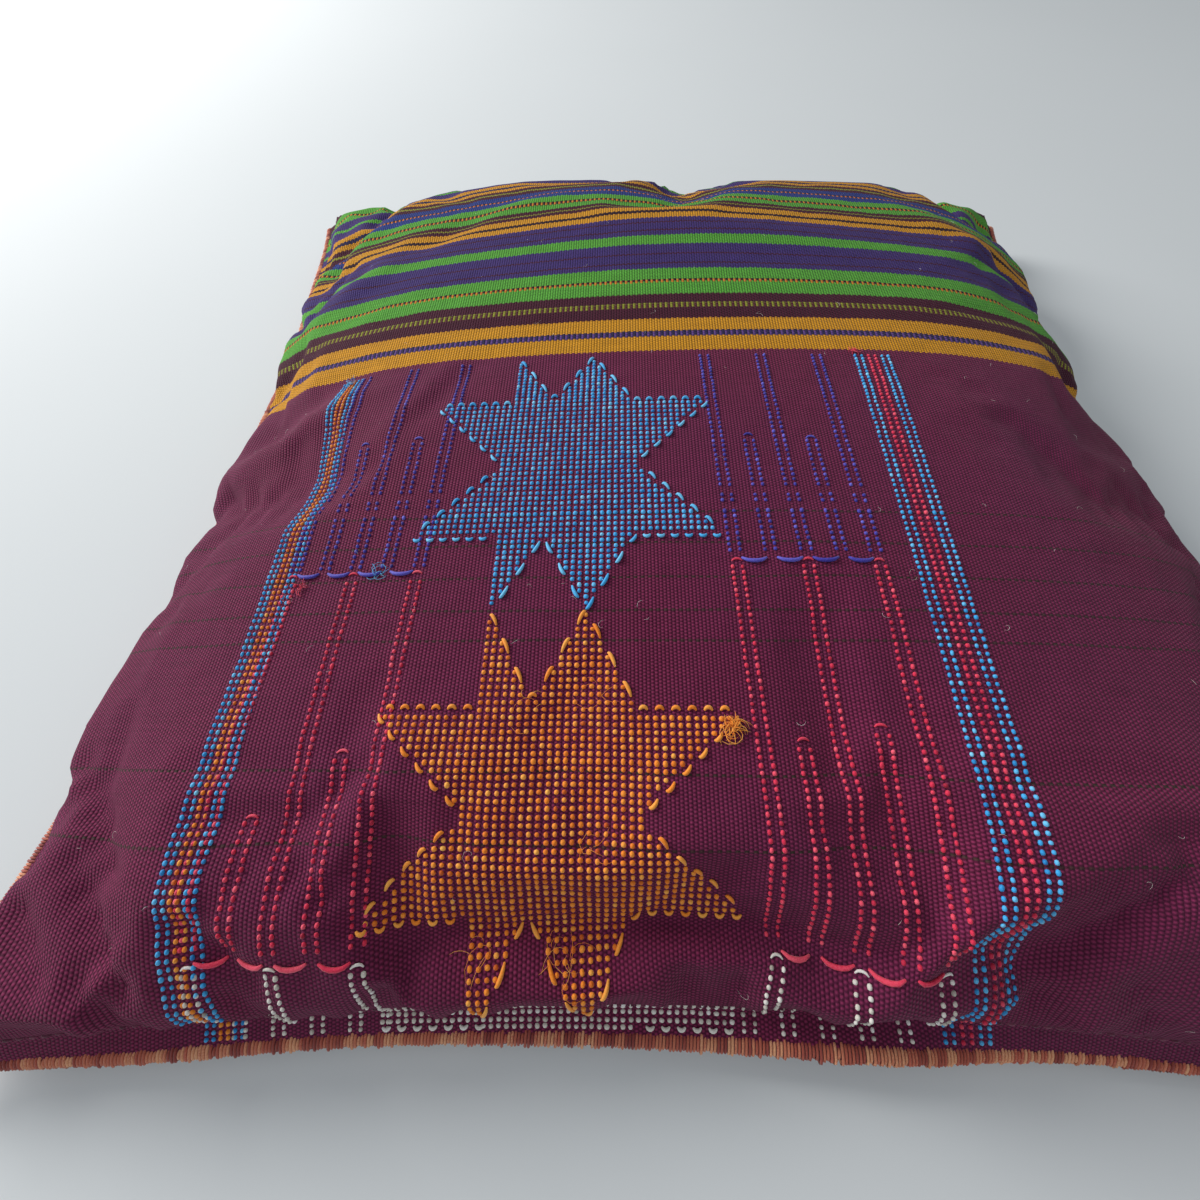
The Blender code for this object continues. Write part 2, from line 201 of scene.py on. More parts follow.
class Nodes:
    """Builds a Principled material from short calls. Each call returns a socket."""

    def __init__(self, name):
        self.material = bpy.data.materials.new(name)
        self.material.use_nodes = True
        self.tree = self.material.node_tree
        self.shader = self.tree.nodes["Principled BSDF"]

    def put(self, kind, **settings):
        node = self.tree.nodes.new(kind)
        for key, value in settings.items():
            setattr(node, key, value)
        return node

    def feed(self, socket, value):
        if isinstance(value, bpy.types.NodeSocket):
            self.tree.links.new(value, socket)
        else:
            socket.default_value = value

    def math(self, operation, *values, clamp=False):
        node = self.put("ShaderNodeMath", operation=operation, use_clamp=clamp)
        for socket, value in zip(node.inputs, values):
            self.feed(socket, value)
        return node.outputs[0]

    def blend(self, share, first, second, kind="MIX"):
        node = self.put("ShaderNodeMix", data_type="RGBA", blend_type=kind)
        for index, value in ((0, share), (6, first), (7, second)):
            if index and not isinstance(value, bpy.types.NodeSocket):
                value = (*value[:3], 1.0)
            self.feed(node.inputs[index], value)
        return node.outputs[2]

    def ramp(self, value, stops, interpolation="LINEAR"):
        node = self.put("ShaderNodeValToRGB")
        node.color_ramp.interpolation = interpolation
        elements = node.color_ramp.elements
        while len(elements) < len(stops):
            elements.new(1.0)
        for element, (place, colour) in zip(elements, stops):
            element.position = place
            element.color = (*colour[:3], 1.0)
        self.feed(node.inputs[0], value)
        return node.outputs[0]

    def noise(self, vector, scale, detail=2.0, roughness=0.5):
        node = self.put("ShaderNodeTexNoise")
        self.feed(node.inputs["Vector"], vector)
        node.inputs["Scale"].default_value = scale
        node.inputs["Detail"].default_value = detail
        node.inputs["Roughness"].default_value = roughness
        return node.outputs[0]

    def vector(self, x, y, z=0.0):
        node = self.put("ShaderNodeCombineXYZ")
        for socket, value in zip(node.inputs, (x, y, z)):
            self.feed(socket, value)
        return node.outputs[0]

    def object_place(self):
        return self.put("ShaderNodeTexCoord").outputs["Object"]

    def cloth(self):
        """u and v on the flat cloth, in metres."""
        parts = self.put("ShaderNodeSeparateXYZ")
        self.tree.links.new(self.put("ShaderNodeUVMap", uv_map="cloth").outputs[0], parts.inputs[0])
        return parts.outputs[0], parts.outputs[1]

    def tone(self):
        return self.put("ShaderNodeAttribute", attribute_name="tone").outputs["Fac"]

    def bump(self, height, distance, strength=1.0):
        node = self.put("ShaderNodeBump")
        node.inputs["Strength"].default_value = strength
        node.inputs["Distance"].default_value = distance
        self.feed(node.inputs["Height"], height)
        self.tree.links.new(node.outputs[0], self.shader.inputs["Normal"])

    def finish(self, colour, roughness, **even):
        colour = colour if isinstance(colour, bpy.types.NodeSocket) else (*colour, 1.0)
        self.feed(self.shader.inputs["Base Color"], colour)
        self.feed(self.shader.inputs["Roughness"], roughness)
        for key, value in even.items():
            self.shader.inputs[key.replace("_", " ")].default_value = value
        return self.material


def srgb(code):
    """Linear red, green and blue from a six-figure hex code."""
    parts = [int(code[place : place + 2], 16) / 255 for place in (0, 2, 4)]
    return tuple(part / 12.92 if part <= 0.04045 else ((part + 0.055) / 1.055) ** 2.4 for part in parts)


MAROON = srgb("4c0d2b")
MAROON_LIGHT = srgb("8e2f58")
YELLOW = srgb("e6a11f")
GREEN = srgb("5fb53e")
LIME = srgb("9a9a30")
INDIGO = srgb("43307a")
ROYAL = srgb("1d3d90")
NAVY = srgb("2a2352")
DARK = srgb("2c0a20")

# The striped end of the cloth: the depth in millimetres at which each stripe stops, and its colour.
STRIPES = (
    (37.0, YELLOW), (40.5, NAVY), (50.5, YELLOW), (59.0, MAROON), (63.0, LIME), (70.5, MAROON), (81.0, GREEN),
    (83.5, DARK), (93.0, GREEN), (98.0, INDIGO), (99.0, MAROON), (106.0, INDIGO), (107.0, MAROON),
    (116.0, INDIGO), (124.5, GREEN), (129.0, INDIGO), (130.0, MAROON), (136.0, INDIGO), (137.0, MAROON),
    (141.5, INDIGO),
    (147.0, YELLOW), (150.0, DARK), (155.0, YELLOW), (158.0, MAROON), (160.0, LIME), (163.0, MAROON),
    (168.5, GREEN), (171.0, DARK), (177.5, GREEN), (184.0, ROYAL), (186.0, DARK), (193.0, ROYAL),
    (197.0, MAROON), (199.0, LIME), (203.0, MAROON), (208.0, YELLOW), (210.5, NAVY), (216.0, YELLOW),
    (226.0, INDIGO),
    (228.5, GREEN), (238.0, INDIGO), (246.0, GREEN), (248.5, DARK), (256.0, GREEN), (280.0, MAROON),
)
# Lines of warp in two colours by turns: depth, half width and second colour.
CHECKED = (
    (0.03875, 0.00175, srgb("6a4a96")), (0.0610, 0.0020, srgb("5c2030")), (0.08225, 0.00125, srgb("e08a2c")),
    (0.16975, 0.00125, srgb("e08a2c")), (0.1850, 0.0010, srgb("e0802c")), (0.24725, 0.00125, srgb("e08a2c")),
)
DARK_WARPS = (-0.0736, -0.0885, -0.1039, -0.1183, -0.1307, -0.1798, -0.2046)


def weave_heights(nodes, u, v):
    """The relief of a warp-faced rib: rounded ribs front to back, crossed by warps that alternate."""
    across = nodes.math("DIVIDE", u, RIB)
    depth = nodes.math("DIVIDE", v, PICK)
    rib = nodes.math("ABSOLUTE", nodes.math("SINE", nodes.math("MULTIPLY", across, math.pi)))
    turn = nodes.math("MULTIPLY", nodes.math("FLOOR", across), math.pi)
    wave = nodes.math("SINE", nodes.math("ADD", nodes.math("MULTIPLY", depth, 2 * math.pi), turn))
    dash = nodes.math("MULTIPLY_ADD", wave, 0.5, 0.5)
    parity = nodes.math("GREATER_THAN", nodes.math("SINE", nodes.math("MULTIPLY", across, math.pi)), 0.0)
    return rib, dash, parity


def woven(name, striped):
    """The cover's cloth. The striped cloth carries the warp stripes at its rear end."""
    nodes = Nodes(name)
    u, v = nodes.cloth()
    rib, dash, parity = weave_heights(nodes, u, v)
    # raised is the weave's relief height. Below, it paints the rib tops lighter and the valleys darker as
    # painted shade, both in the ground and in the stripes.
    raised = nodes.math("MULTIPLY", nodes.math("POWER", rib, 0.7), dash)
    place = nodes.vector(u, v)
    broad = nodes.noise(place, 9.0, 3.0)
    streaks = nodes.noise(nodes.vector(nodes.math("MULTIPLY", u, 0.05), v), 900.0, 1.0)
    slubs = nodes.noise(nodes.vector(u, nodes.math("MULTIPLY", v, 0.12)), 700.0, 1.0)
    fuzz = nodes.noise(place, 2600.0, 2.0)

    # Painted shade: the ground runs from MAROON in the weave's valleys to MAROON_LIGHT, a painted highlight, on
    # the rib tops.
    ground = nodes.blend(raised, MAROON, MAROON_LIGHT)
    patches = nodes.math("MULTIPLY_ADD", broad, 1.5, -0.35, clamp=True)
    ground = nodes.blend(nodes.math("MULTIPLY", patches, 0.30), ground, srgb("5a2d58"))
    for depth in DARK_WARPS if striped else ():
        drift = nodes.noise(nodes.vector(u, depth * 90.0), 14.0, 1.0)
        wander = nodes.math("MULTIPLY_ADD", drift, 0.003, depth - 0.0015)
        off = nodes.math("ABSOLUTE", nodes.math("SUBTRACT", v, wander))
        line = nodes.math("LESS_THAN", off, 0.0005)
        line = nodes.math("MULTIPLY", line, nodes.math("MULTIPLY_ADD", parity, 0.55, 0.15))
        ground = nodes.blend(line, ground, srgb("20301c"))
    colour = ground
    if striped:
        ragged = nodes.math("MULTIPLY_ADD", parity, 0.0006, v)
        first, last = STRIPES_START, 0.300
        share = nodes.math("DIVIDE", nodes.math("SUBTRACT", ragged, first), last - first)
        starts = [first, *[end / 1000 for end, _ in STRIPES[:-1]]]
        stops = [((start - first) / (last - first), dye) for start, (_, dye) in zip(starts, STRIPES)]
        half = len(stops) // 2
        near = nodes.ramp(share, stops[:half], "CONSTANT")
        far = nodes.ramp(share, stops[half:], "CONSTANT")
        dye = nodes.blend(nodes.math("GREATER_THAN", share, stops[half][0]), near, far)
        for depth, width, second in CHECKED:
            off = nodes.math("ABSOLUTE", nodes.math("SUBTRACT", v, depth))
            here = nodes.math("MULTIPLY", nodes.math("LESS_THAN", off, width), parity)
            dye = nodes.blend(here, dye, second)
        shade = nodes.math("MULTIPLY_ADD", raised, 0.60, 0.50)
        dye = nodes.blend(1.0, dye, nodes.vector(shade, shade, shade), "MULTIPLY")
        inside = nodes.math("GREATER_THAN", ragged, STRIPES_START)
        colour = nodes.blend(inside, ground, dye)
    uneven = nodes.math("MULTIPLY_ADD", streaks, 0.50, 0.76)
    colour = nodes.blend(1.0, colour, nodes.vector(uneven, uneven, uneven), "MULTIPLY")
    uneven = nodes.math("MULTIPLY_ADD", slubs, 0.36, 0.83)
    colour = nodes.blend(1.0, colour, nodes.vector(uneven, uneven, uneven), "MULTIPLY")
    worn = nodes.math("MULTIPLY", nodes.math("SUBTRACT", fuzz, 0.64, clamp=True), 1.2)
    colour = nodes.blend(worn, colour, srgb("c8a4b0"))

    height = nodes.math("MULTIPLY_ADD", dash, 0.55, nodes.math("MULTIPLY", rib, 0.9))
    height = nodes.math("MULTIPLY_ADD", fuzz, 0.35, height)
    height = nodes.math("MULTIPLY_ADD", slubs, 0.25, height)
    nodes.bump(height, 0.0004, 0.85)
    rough = nodes.math("MULTIPLY_ADD", broad, 0.12, 0.80)
    sheen = {"Sheen_Weight": 0.07, "Sheen_Roughness": 0.45, "Sheen_Tint": (0.95, 0.72, 0.82, 1.0)}
    return nodes.finish(colour, rough, Specular_IOR_Level=0.18, **sheen)


def yarn(name, dark, middle, light, fibre=2400.0, gloss=0.55):
    """Soft-spun thread: the tone attribute picks the dye, and fine streaks run through it."""
    nodes = Nodes(name)
    place = nodes.object_place()
    strands = nodes.noise(place, fibre, 2.0)
    tone = nodes.math("MULTIPLY_ADD", nodes.math("SUBTRACT", strands, 0.5), 0.7, nodes.tone())
    colour = nodes.ramp(tone, ((0.0, dark), (0.5, middle), (1.0, light)))
    nodes.bump(strands, 0.0002, 0.5)
    rough = nodes.math("MULTIPLY_ADD", strands, 0.2, gloss)
    return nodes.finish(colour, rough, Sheen_Weight=0.25, Sheen_Roughness=0.4, Specular_IOR_Level=0.35)


# ---------------------------------------------------------------- the cover, simulated


def seam_target(u, v, zip_height):
    """Where a point on the cloth's seam square is drawn to."""
    along_u, along_v = u / HALF, v / HALF
    front, rear = along_v <= -1 + 1e-6, along_v >= 1 - 1e-6
    sides = ~(front | rear)
    reach = np.abs(along_u) * CORNER
    front_pull = SIDE_PULL * (1 - along_u**2)
    rear_pull = SIDE_PULL * (1 - smooth_step(0.195, CORNER, reach))
    side_pull = SIDE_PULL * (1 - along_v**2)
    x = np.where(sides, np.sign(along_u) * (CORNER - side_pull), along_u * CORNER)
    y = np.where(front, front_pull - CORNER, np.where(rear, CORNER - rear_pull, along_v * CORNER))
    along = np.where(sides, along_v, along_u)
    z = CORNER_SEAM_HEIGHT + (SEAM_HEIGHT - CORNER_SEAM_HEIGHT) * (1 - along**4)
    on_zip = np.where(rear, 1 - smooth_step(*ZIP_CLOSES, reach), 0.0)
    return np.stack([x, y, z + (zip_height - z) * on_zip], -1)


def on_seam(u, v):
    near = 1e-6
    sides = (np.abs(np.abs(u) - HALF) < near) & (v > -HALF - near)
    ends = (np.abs(np.abs(v) - HALF) < near) & (np.abs(u) < HALF + near)
    return sides | ends


def cloth_lines(cells):
    """The grid's u and v lines, with flange cells at the left, right and front."""
    inner = np.linspace(-HALF, HALF, cells + 1)
    outer = FLANGE * np.arange(1, FLANGE_CELLS + 1) / FLANGE_CELLS
    across = np.concatenate([-HALF - outer[::-1], inner, HALF + outer])
    along = np.concatenate([-HALF - outer[::-1], inner])
    return across, along


def simulate_cover():
    """Blows the flat top panel up inside its seam, over the floor. Returns its grid of points."""
    across, along = cloth_lines(CELLS)
    u, v = (grid.ravel() for grid in np.meshgrid(across, along))
    flat = np.stack([u, v, np.full_like(u, SEAM_HEIGHT)], -1)
    seam = on_seam(u, v)
    drawn = flat.copy()
    drawn[seam] = seam_target(u[seam], v[seam], ZIP_HEIGHT + ZIP_OPENING)
    mesh = new_mesh("cover_sim", flat, grid_faces(len(along), len(across)))
    cover = bpy.data.objects.new("cover_sim", mesh)
    bpy.context.scene.collection.objects.link(cover)
    cover.shape_key_add(name="Basis")
    gathered = cover.shape_key_add(name="gathered")
    gathered.data.foreach_set("co", drawn.astype(np.float32).ravel())
    held = cover.vertex_groups.new(name="pin")
    held.add(np.nonzero(seam)[0].tolist(), 1.0, "REPLACE")
    blown = cover.vertex_groups.new(name="pressure")
    inside = (np.abs(u) < HALF + 1e-6) & (np.abs(v) < HALF + 1e-6)
    blown.add(np.nonzero(inside)[0].tolist(), 1.0, "REPLACE")

    ground = bpy.data.objects.new("floor_sim", flat_square("floor_sim", 1))
    bpy.context.scene.collection.objects.link(ground)
    ground.modifiers.new("collision", "COLLISION")
    ground.collision.thickness_outer = 0.001

    cloth = cover.modifiers.new("cloth", "CLOTH")
    settings = cloth.settings
    settings.vertex_group_mass = "pin"
    settings.pin_stiffness = 1.0
    settings.vertex_group_pressure = "pressure"
    settings.quality = 6
    settings.mass = 0.01
    settings.tension_stiffness = settings.compression_stiffness = 60.0
    settings.shear_stiffness = 4.0
    settings.bending_stiffness = 0.2
    settings.tension_damping = settings.compression_damping = settings.shear_damping = 5.0
    settings.bending_damping = 0.5
    settings.air_damping = 2.0
    settings.use_pressure = True
    settings.uniform_pressure_force = 3.0
    settings.fluid_density = 4.0
    cloth.collision_settings.distance_min = 0.003
    cloth.collision_settings.use_self_collision = False
    scene = bpy.context.scene
    scene.frame_start, scene.frame_end = 1, FRAMES
    cloth.point_cache.frame_start, cloth.point_cache.frame_end = 1, FRAMES
    gathered.value = 0.0
    gathered.keyframe_insert("value", frame=1)
    gathered.value = 1.0
    gathered.keyframe_insert("value", frame=GATHERED_BY)
    for step in range(1, FRAMES + 1):
        scene.frame_set(step)
    settled = cover.evaluated_get(bpy.context.evaluated_depsgraph_get()).to_mesh()
    points = np.empty(len(settled.vertices) * 3)
    settled.vertices.foreach_get("co", points)
    action = mesh.shape_keys.animation_data.action
    for helper in (cover, ground):
        bpy.data.objects.remove(helper, do_unlink=True)
    bpy.data.actions.remove(action)
    scene.frame_set(1)
    return points.reshape(len(along), len(across), 3)


def settle(points):
    """Lowers the crown by a smoothly changing share. Its factors were fitted, not measured."""
    x, y = points[..., 0] / 0.25, points[..., 1]
    near_front = np.exp(-(((y + 0.24) / 0.06) ** 2))
    share = -0.3465 + 0.10 * y / 0.25 + 0.105 * x + 0.241 * (y / 0.25) ** 2 + 0.413 * near_front
    points[..., 2] += np.maximum(0.0, points[..., 2] - SETTLED_ABOVE) * share
    return points


class Surface:
    """Cloth in space: a grid of points over flat cloth coordinates, smooth between the seams."""

    def __init__(self, across, along, points):
        self.across, self.along, self.points = across, along, points
        self.breaks_u = np.array([0, *self.seam_lines(across), len(across) - 1])
        self.breaks_v = np.array([0, *self.seam_lines(along), len(along) - 1])

    @staticmethod
    def seam_lines(lines):
        inner = np.nonzero(np.abs(np.abs(lines) - HALF) < 1e-6)[0]
        return [place for place in inner if 0 < place < len(lines) - 1]

    @staticmethod
    def near(places, breaks):
        cell = np.clip(np.floor(places).astype(int), 0, breaks[-1] - 1)
        part = np.clip(np.searchsorted(breaks, cell, side="right") - 1, 0, len(breaks) - 2)
        around = cell[..., None] + np.arange(-1, 3)
        around = np.clip(around, breaks[part][..., None], breaks[part + 1][..., None])
        t = places - cell
        weights = (-0.5 * t + t**2 - 0.5 * t**3, 1 - 2.5 * t**2 + 1.5 * t**3, 0.5 * t + 2 * t**2 - 1.5 * t**3,
                   -0.5 * t**2 + 0.5 * t**3)
        return around, np.stack(weights, -1)

    def at(self, u, v):
        u, v = np.broadcast_arrays(np.asarray(u, float), np.asarray(v, float))
        columns, weight_u = self.near(np.interp(u, self.across, np.arange(len(self.across))), self.breaks_u)
        rows, weight_v = self.near(np.interp(v, self.along, np.arange(len(self.along))), self.breaks_v)
        found = self.points[rows[..., :, None], columns[..., None, :]]
        return np.einsum("...ijk,...i,...j->...k", found, weight_v, weight_u)

    def frames(self, u, v, step=0.0006):
        """Points, unit tangents along u and v, and the outward normal."""
        u, v = np.broadcast_arrays(np.asarray(u, float), np.asarray(v, float))
        low_u, high_u = np.maximum(u - step, self.across[0]), np.minimum(u + step, self.across[-1])
        low_v, high_v = np.maximum(v - step, self.along[0]), np.minimum(v + step, self.along[-1])
        tangent_u = self.at(high_u, v) - self.at(low_u, v)
        tangent_v = self.at(u, high_v) - self.at(u, low_v)
        tangent_u /= np.linalg.norm(tangent_u, axis=-1, keepdims=True)
        tangent_v /= np.linalg.norm(tangent_v, axis=-1, keepdims=True)
        normal = np.cross(tangent_u, tangent_v)
        normal /= np.linalg.norm(normal, axis=-1, keepdims=True)
        return self.at(u, v), tangent_u, tangent_v, normal


def split_lines(lines, parts):
    places = np.arange((len(lines) - 1) * parts + 1) / parts
    return np.interp(places, np.arange(len(lines)), lines)


# Folds in the cover: middle u and v, half length, half width, turn in degrees and height, in metres.
FOLDS = (
    (-0.222, -0.020, 0.050, 0.011, 24, 0.0040),
    (-0.205, 0.012, 0.045, 0.010, 20, -0.0030),
    (-0.135, -0.008, 0.030, 0.008, 62, 0.0016),
    (-0.118, 0.004, 0.026, 0.007, 55, -0.0014),
    (-0.190, 0.120, 0.040, 0.012, 40, 0.0035),
    (-0.150, 0.150, 0.038, 0.010, 34, -0.0030),
    (-0.215, 0.170, 0.040, 0.012, 48, 0.0040),
    (-0.090, 0.175, 0.036, 0.010, 12, 0.0022),
    (0.180, 0.150, 0.050, 0.014, -40, 0.0030),
    (0.215, 0.060, 0.050, 0.014, -62, -0.0025),
    (0.060, 0.130, 0.060, 0.016, -8, 0.0014),
)


def fold_height(u, v):
    """How far the folds lift the cloth."""
    height = np.zeros_like(u)
    for middle_u, middle_v, length, width, turn, rise in FOLDS:
        cosine, sine = math.cos(math.radians(turn)), math.sin(math.radians(turn))
        along = (u - middle_u) * cosine + (v - middle_v) * sine
        across = (v - middle_v) * cosine - (u - middle_u) * sine
        height += rise * np.exp(-((along / length) ** 2) - (across / width) ** 2)
    return height


def edge_puckers(u, v):
    """Small gathers that run in from the seam."""
    depth = HALF - np.maximum(np.abs(u), np.abs(v))
    along = np.where(np.abs(v) > np.abs(u), u, v)
    wave = np.sin(along * 2 * math.pi / 0.031 + 1.4 * np.sin(along * 29.0))
    wave = wave + 0.6 * np.sin(along * 2 * math.pi / 0.0177 + 2.0)
    rise = 0.0005 * smooth_step(-0.20, 0.10, v) + 0.00012
    return rise * wave * np.exp(-(((depth - 0.009) / 0.010) ** 2))


def make_cover_surface():
    across, along = cloth_lines(CELLS)
    rough = Surface(across, along, settle(simulate_cover()))
    across, along = split_lines(across, 2), split_lines(along, 2)
    u, v = np.meshgrid(across, along)
    points, _, _, normal = rough.frames(u, v, 0.003)
    inside = (np.abs(u) < HALF - 1e-6) & (np.abs(v) < HALF - 1e-6)
    height = np.where(inside, fold_height(u, v) + edge_puckers(u, v), 0.0)
    height *= smooth_step(0.0, 0.012, HALF - np.maximum(np.abs(u), np.abs(v)))
    points = roll_over_seam(u, v, points + normal * height[..., None])
    return Surface(across, along, spread_flange(u, v, points))


def roll_over_seam(u, v, points):
    """Bulges the filled cover out past its seam at the left, right and front."""
    depth_u, depth_v = HALF - np.abs(u), HALF + v
    clear = smooth_step(0.0, 0.030, HALF - np.abs(v))
    swell = [
        ROLL * smooth_step(0.0, 0.008, depth) * (1 - smooth_step(0.010, 0.038, depth))
        for depth in (depth_u, depth_v)
    ]
    push = np.stack([np.sign(u) * swell[0] * clear, -swell[1] * smooth_step(0.0, 0.030, depth_u), 0 * u], -1)
    return points + push


def spread_flange(u, v, points):
    """Drops the flange from the seam and lays it outward, at a slope that lifts and dips along its length."""
    out_u, out_v = np.maximum(np.abs(u) - HALF, 0.0), np.maximum(-HALF - v, 0.0)
    out = np.maximum(out_u, out_v)
    rows = np.argmax(v[:, 0] >= -HALF - 1e-6)
    columns = np.nonzero(np.abs(u[0]) <= HALF + 1e-6)[0]
    held_row = np.maximum(np.arange(len(v)), rows)
    held_column = np.clip(np.arange(u.shape[1]), columns[0], columns[-1])
    seam = points[held_row[:, None], held_column[None, :]]
    slope = math.radians(FLANGE_SLOPE) - 0.10 * np.sin(u * 31.0 + 0.9) - 0.07 * np.sin(v * 43.0)
    slope = slope - 0.30 * np.exp(-(((u - 0.060) / 0.035) ** 2))
    slope = slope - 0.18 * np.exp(-(((u + 0.200) / 0.045) ** 2))
    slope = slope + 0.42 * smooth_step(0.06, 0.20, np.abs(u)) * (np.abs(u) < HALF + out_v)
    dropped = np.minimum(out, FLANGE_DROP)
    outward = dropped * math.cos(DROP_SLOPE) + (out - dropped) * np.cos(slope)
    down = dropped * math.sin(DROP_SLOPE) + (out - dropped) * np.sin(slope)
    share = outward / np.maximum(out, 1e-7)
    moved = np.stack([np.sign(u) * out_u * share, -out_v * share, -down], -1)
    return np.where(out[..., None] > 1e-7, seam + moved, points)


cover = make_cover_surface()
brocade = woven("brocade_cloth", True)
backing = woven("backing_cloth", False)


def make_cover():
    parts = FINE * 64 // CELLS
    across, along = (split_lines(lines, parts) for lines in cloth_lines(CELLS))
    u, v = np.meshgrid(across, along)
    points, _, _, normal = cover.frames(u, v)
    mesh = thick_sheet("cover_top", points, points - normal * CLOTH, np.stack([u, v], -1))
    add_piece("cover_top", mesh, brocade, "cushion", "brocade", "top_panel")


BASE_CURVE = 0.024


def make_bottom_surface():
    """The bottom panel's inner face, which follows the flange, turns under and lies on the floor."""
    across, along = (split_lines(lines, 2) for lines in cloth_lines(64))
    u, v = np.meshgrid(across, along)
    top, _, _, normal = cover.frames(u, v)
    flange = top - normal * (CLOTH + PLY_GAP)
    share_u, share_v = np.clip(u / HALF, -1, 1), np.clip(v / HALF, -1, 1)
    rear_pull = SIDE_PULL * (1 - smooth_step(0.195, CORNER, np.abs(share_u) * CORNER))
    end_pull = np.where(share_v > 0, rear_pull, SIDE_PULL * (1 - share_u**2))
    x = share_u * (CORNER - SIDE_PULL * (1 - share_v**2))
    y = share_v * (CORNER - end_pull)
    sideways = np.abs(share_u) > np.abs(share_v)
    along_edge = np.where(sideways, share_v, share_u)
    low = CORNER_SEAM_HEIGHT + (SEAM_HEIGHT - CORNER_SEAM_HEIGHT) * (1 - along_edge**4)
    at_rear = smooth_step(0.80, 0.95, share_v) * (1 - smooth_step(*ZIP_CLOSES, np.abs(share_u) * CORNER))
    low = low - CLOTH - PLY_GAP + (ZIP_HEIGHT - ZIP_OPENING - low + CLOTH + PLY_GAP) * at_rear
    depth = (1 - np.maximum(np.abs(share_u), np.abs(share_v))) * HALF
    fall = 1 - np.sin(np.clip(depth / BASE_CURVE, 0, 1) * math.pi / 2)
    under = np.stack([x, y, CLOTH + (low - CLOTH) * fall], -1)
    outside = (np.abs(u) > HALF + 1e-6) | (v < -HALF - 1e-6)
    return Surface(across, along, np.where(outside[..., None], flange, under))


def make_bottom():
    u, v = np.meshgrid(bottom.across, bottom.along)
    points, _, _, normal = bottom.frames(u, v)
    outer = points - normal * CLOTH
    outer[..., 2] = np.maximum(outer[..., 2], 0.0)
    mesh = thick_sheet("cover_bottom", points, outer, np.stack([u, v], -1))
    add_piece("cover_bottom", mesh, backing, "cushion", "backing", "bottom_panel")


def pad_layer(surface, offset, outward):
    """A sheet inside the cover, offset from one of its faces and held off the zip."""
    lines = np.linspace(-HALF, HALF, 73) * 0.985
    u, v = np.meshgrid(lines, lines)
    points, _, _, normal = surface.frames(u, v, 0.002)
    points = points + outward * normal * offset
    window = 1 - smooth_step(0.195, 0.245, np.abs(u))
    points[..., 1] -= 0.0095 * window * smooth_step(0.90, 0.985, v / HALF)
    return points, np.stack([u, v], -1)


def make_pad():
    """The calico casing in two halves, and the fibre that fills it."""
    shells = {}
    for name, surface, outward, offsets in (
        ("top", cover, -1, (CLOTH + 0.0035, CLOTH + 0.0041, CLOTH + 0.0065)),
        ("bottom", bottom, 1, (0.0030, 0.0036, 0.0060)),
    ):
        shells[name] = [pad_layer(surface, offset, outward)[0] for offset in offsets]
    uv = pad_layer(cover, 0.0, 1)[1]
    rim = np.ones(uv.shape[:2], bool)
    rim[1:-1, 1:-1] = False
    for layer in range(3):
        middle = (shells["top"][layer][rim] + shells["bottom"][layer][rim]) / 2
        for name, side in (("top", 1), ("bottom", -1)):
            shells[name][layer][rim] = middle + np.array((0.0, 0.0, 0.00015 * side))
    top, low = shells["top"], shells["bottom"]
    for name, upper, lower, node in (
        ("casing_top", top[0], top[1], "insert_casing_top"),
        ("casing_bottom", low[1], low[0], "insert_casing_bottom"),
    ):
        mesh = thick_sheet(name, upper, lower, uv)
        add_piece(name, mesh, calico, "cushion", "calico", node)
    mesh = thick_sheet("stuffing", top[2], low[2], uv)
    add_piece("stuffing", mesh, fibre, "cushion", "fibre", "filling")


def plain_cloth(name, dark, light, pitch):
    nodes = Nodes(name)
    u, v = nodes.cloth()
    place = nodes.vector(u, v)
    across = nodes.math("SINE", nodes.math("MULTIPLY", u, math.pi / pitch))
    depth = nodes.math("SINE", nodes.math("MULTIPLY", v, math.pi / pitch))
    weave = nodes.math("MULTIPLY_ADD", nodes.math("MULTIPLY", across, depth), 0.5, 0.5)
    flecks = nodes.noise(place, 60.0, 4.0)
    # Partly painted shade: the weave's raised crossings are painted lighter and its hollows darker, while the
    # flecks are the yarn's own uneven tone.
    tone = nodes.math("MULTIPLY_ADD", weave, 0.6, nodes.math("MULTIPLY", flecks, 0.4))
    colour = nodes.blend(tone, dark, light)
    nodes.bump(weave, 0.0003, 0.6)
    return nodes.finish(colour, nodes.math("MULTIPLY_ADD", flecks, 0.1, 0.85), Sheen_Weight=0.1)


def loose_fibre(name):
    nodes = Nodes(name)
    place = nodes.object_place()
    clumps = nodes.noise(place, 60.0, 6.0, 0.7)
    strands = nodes.noise(place, 900.0, 2.0)
    colour = nodes.blend(clumps, srgb("c9c2b2"), srgb("f4f0e6"))
    nodes.bump(nodes.math("MULTIPLY_ADD", strands, 0.4, clumps), 0.004, 0.8)
    return nodes.finish(colour, nodes.math("MULTIPLY_ADD", strands, 0.1, 0.88), Sheen_Weight=0.3)


# ---------------------------------------------------------------- the worked motifs


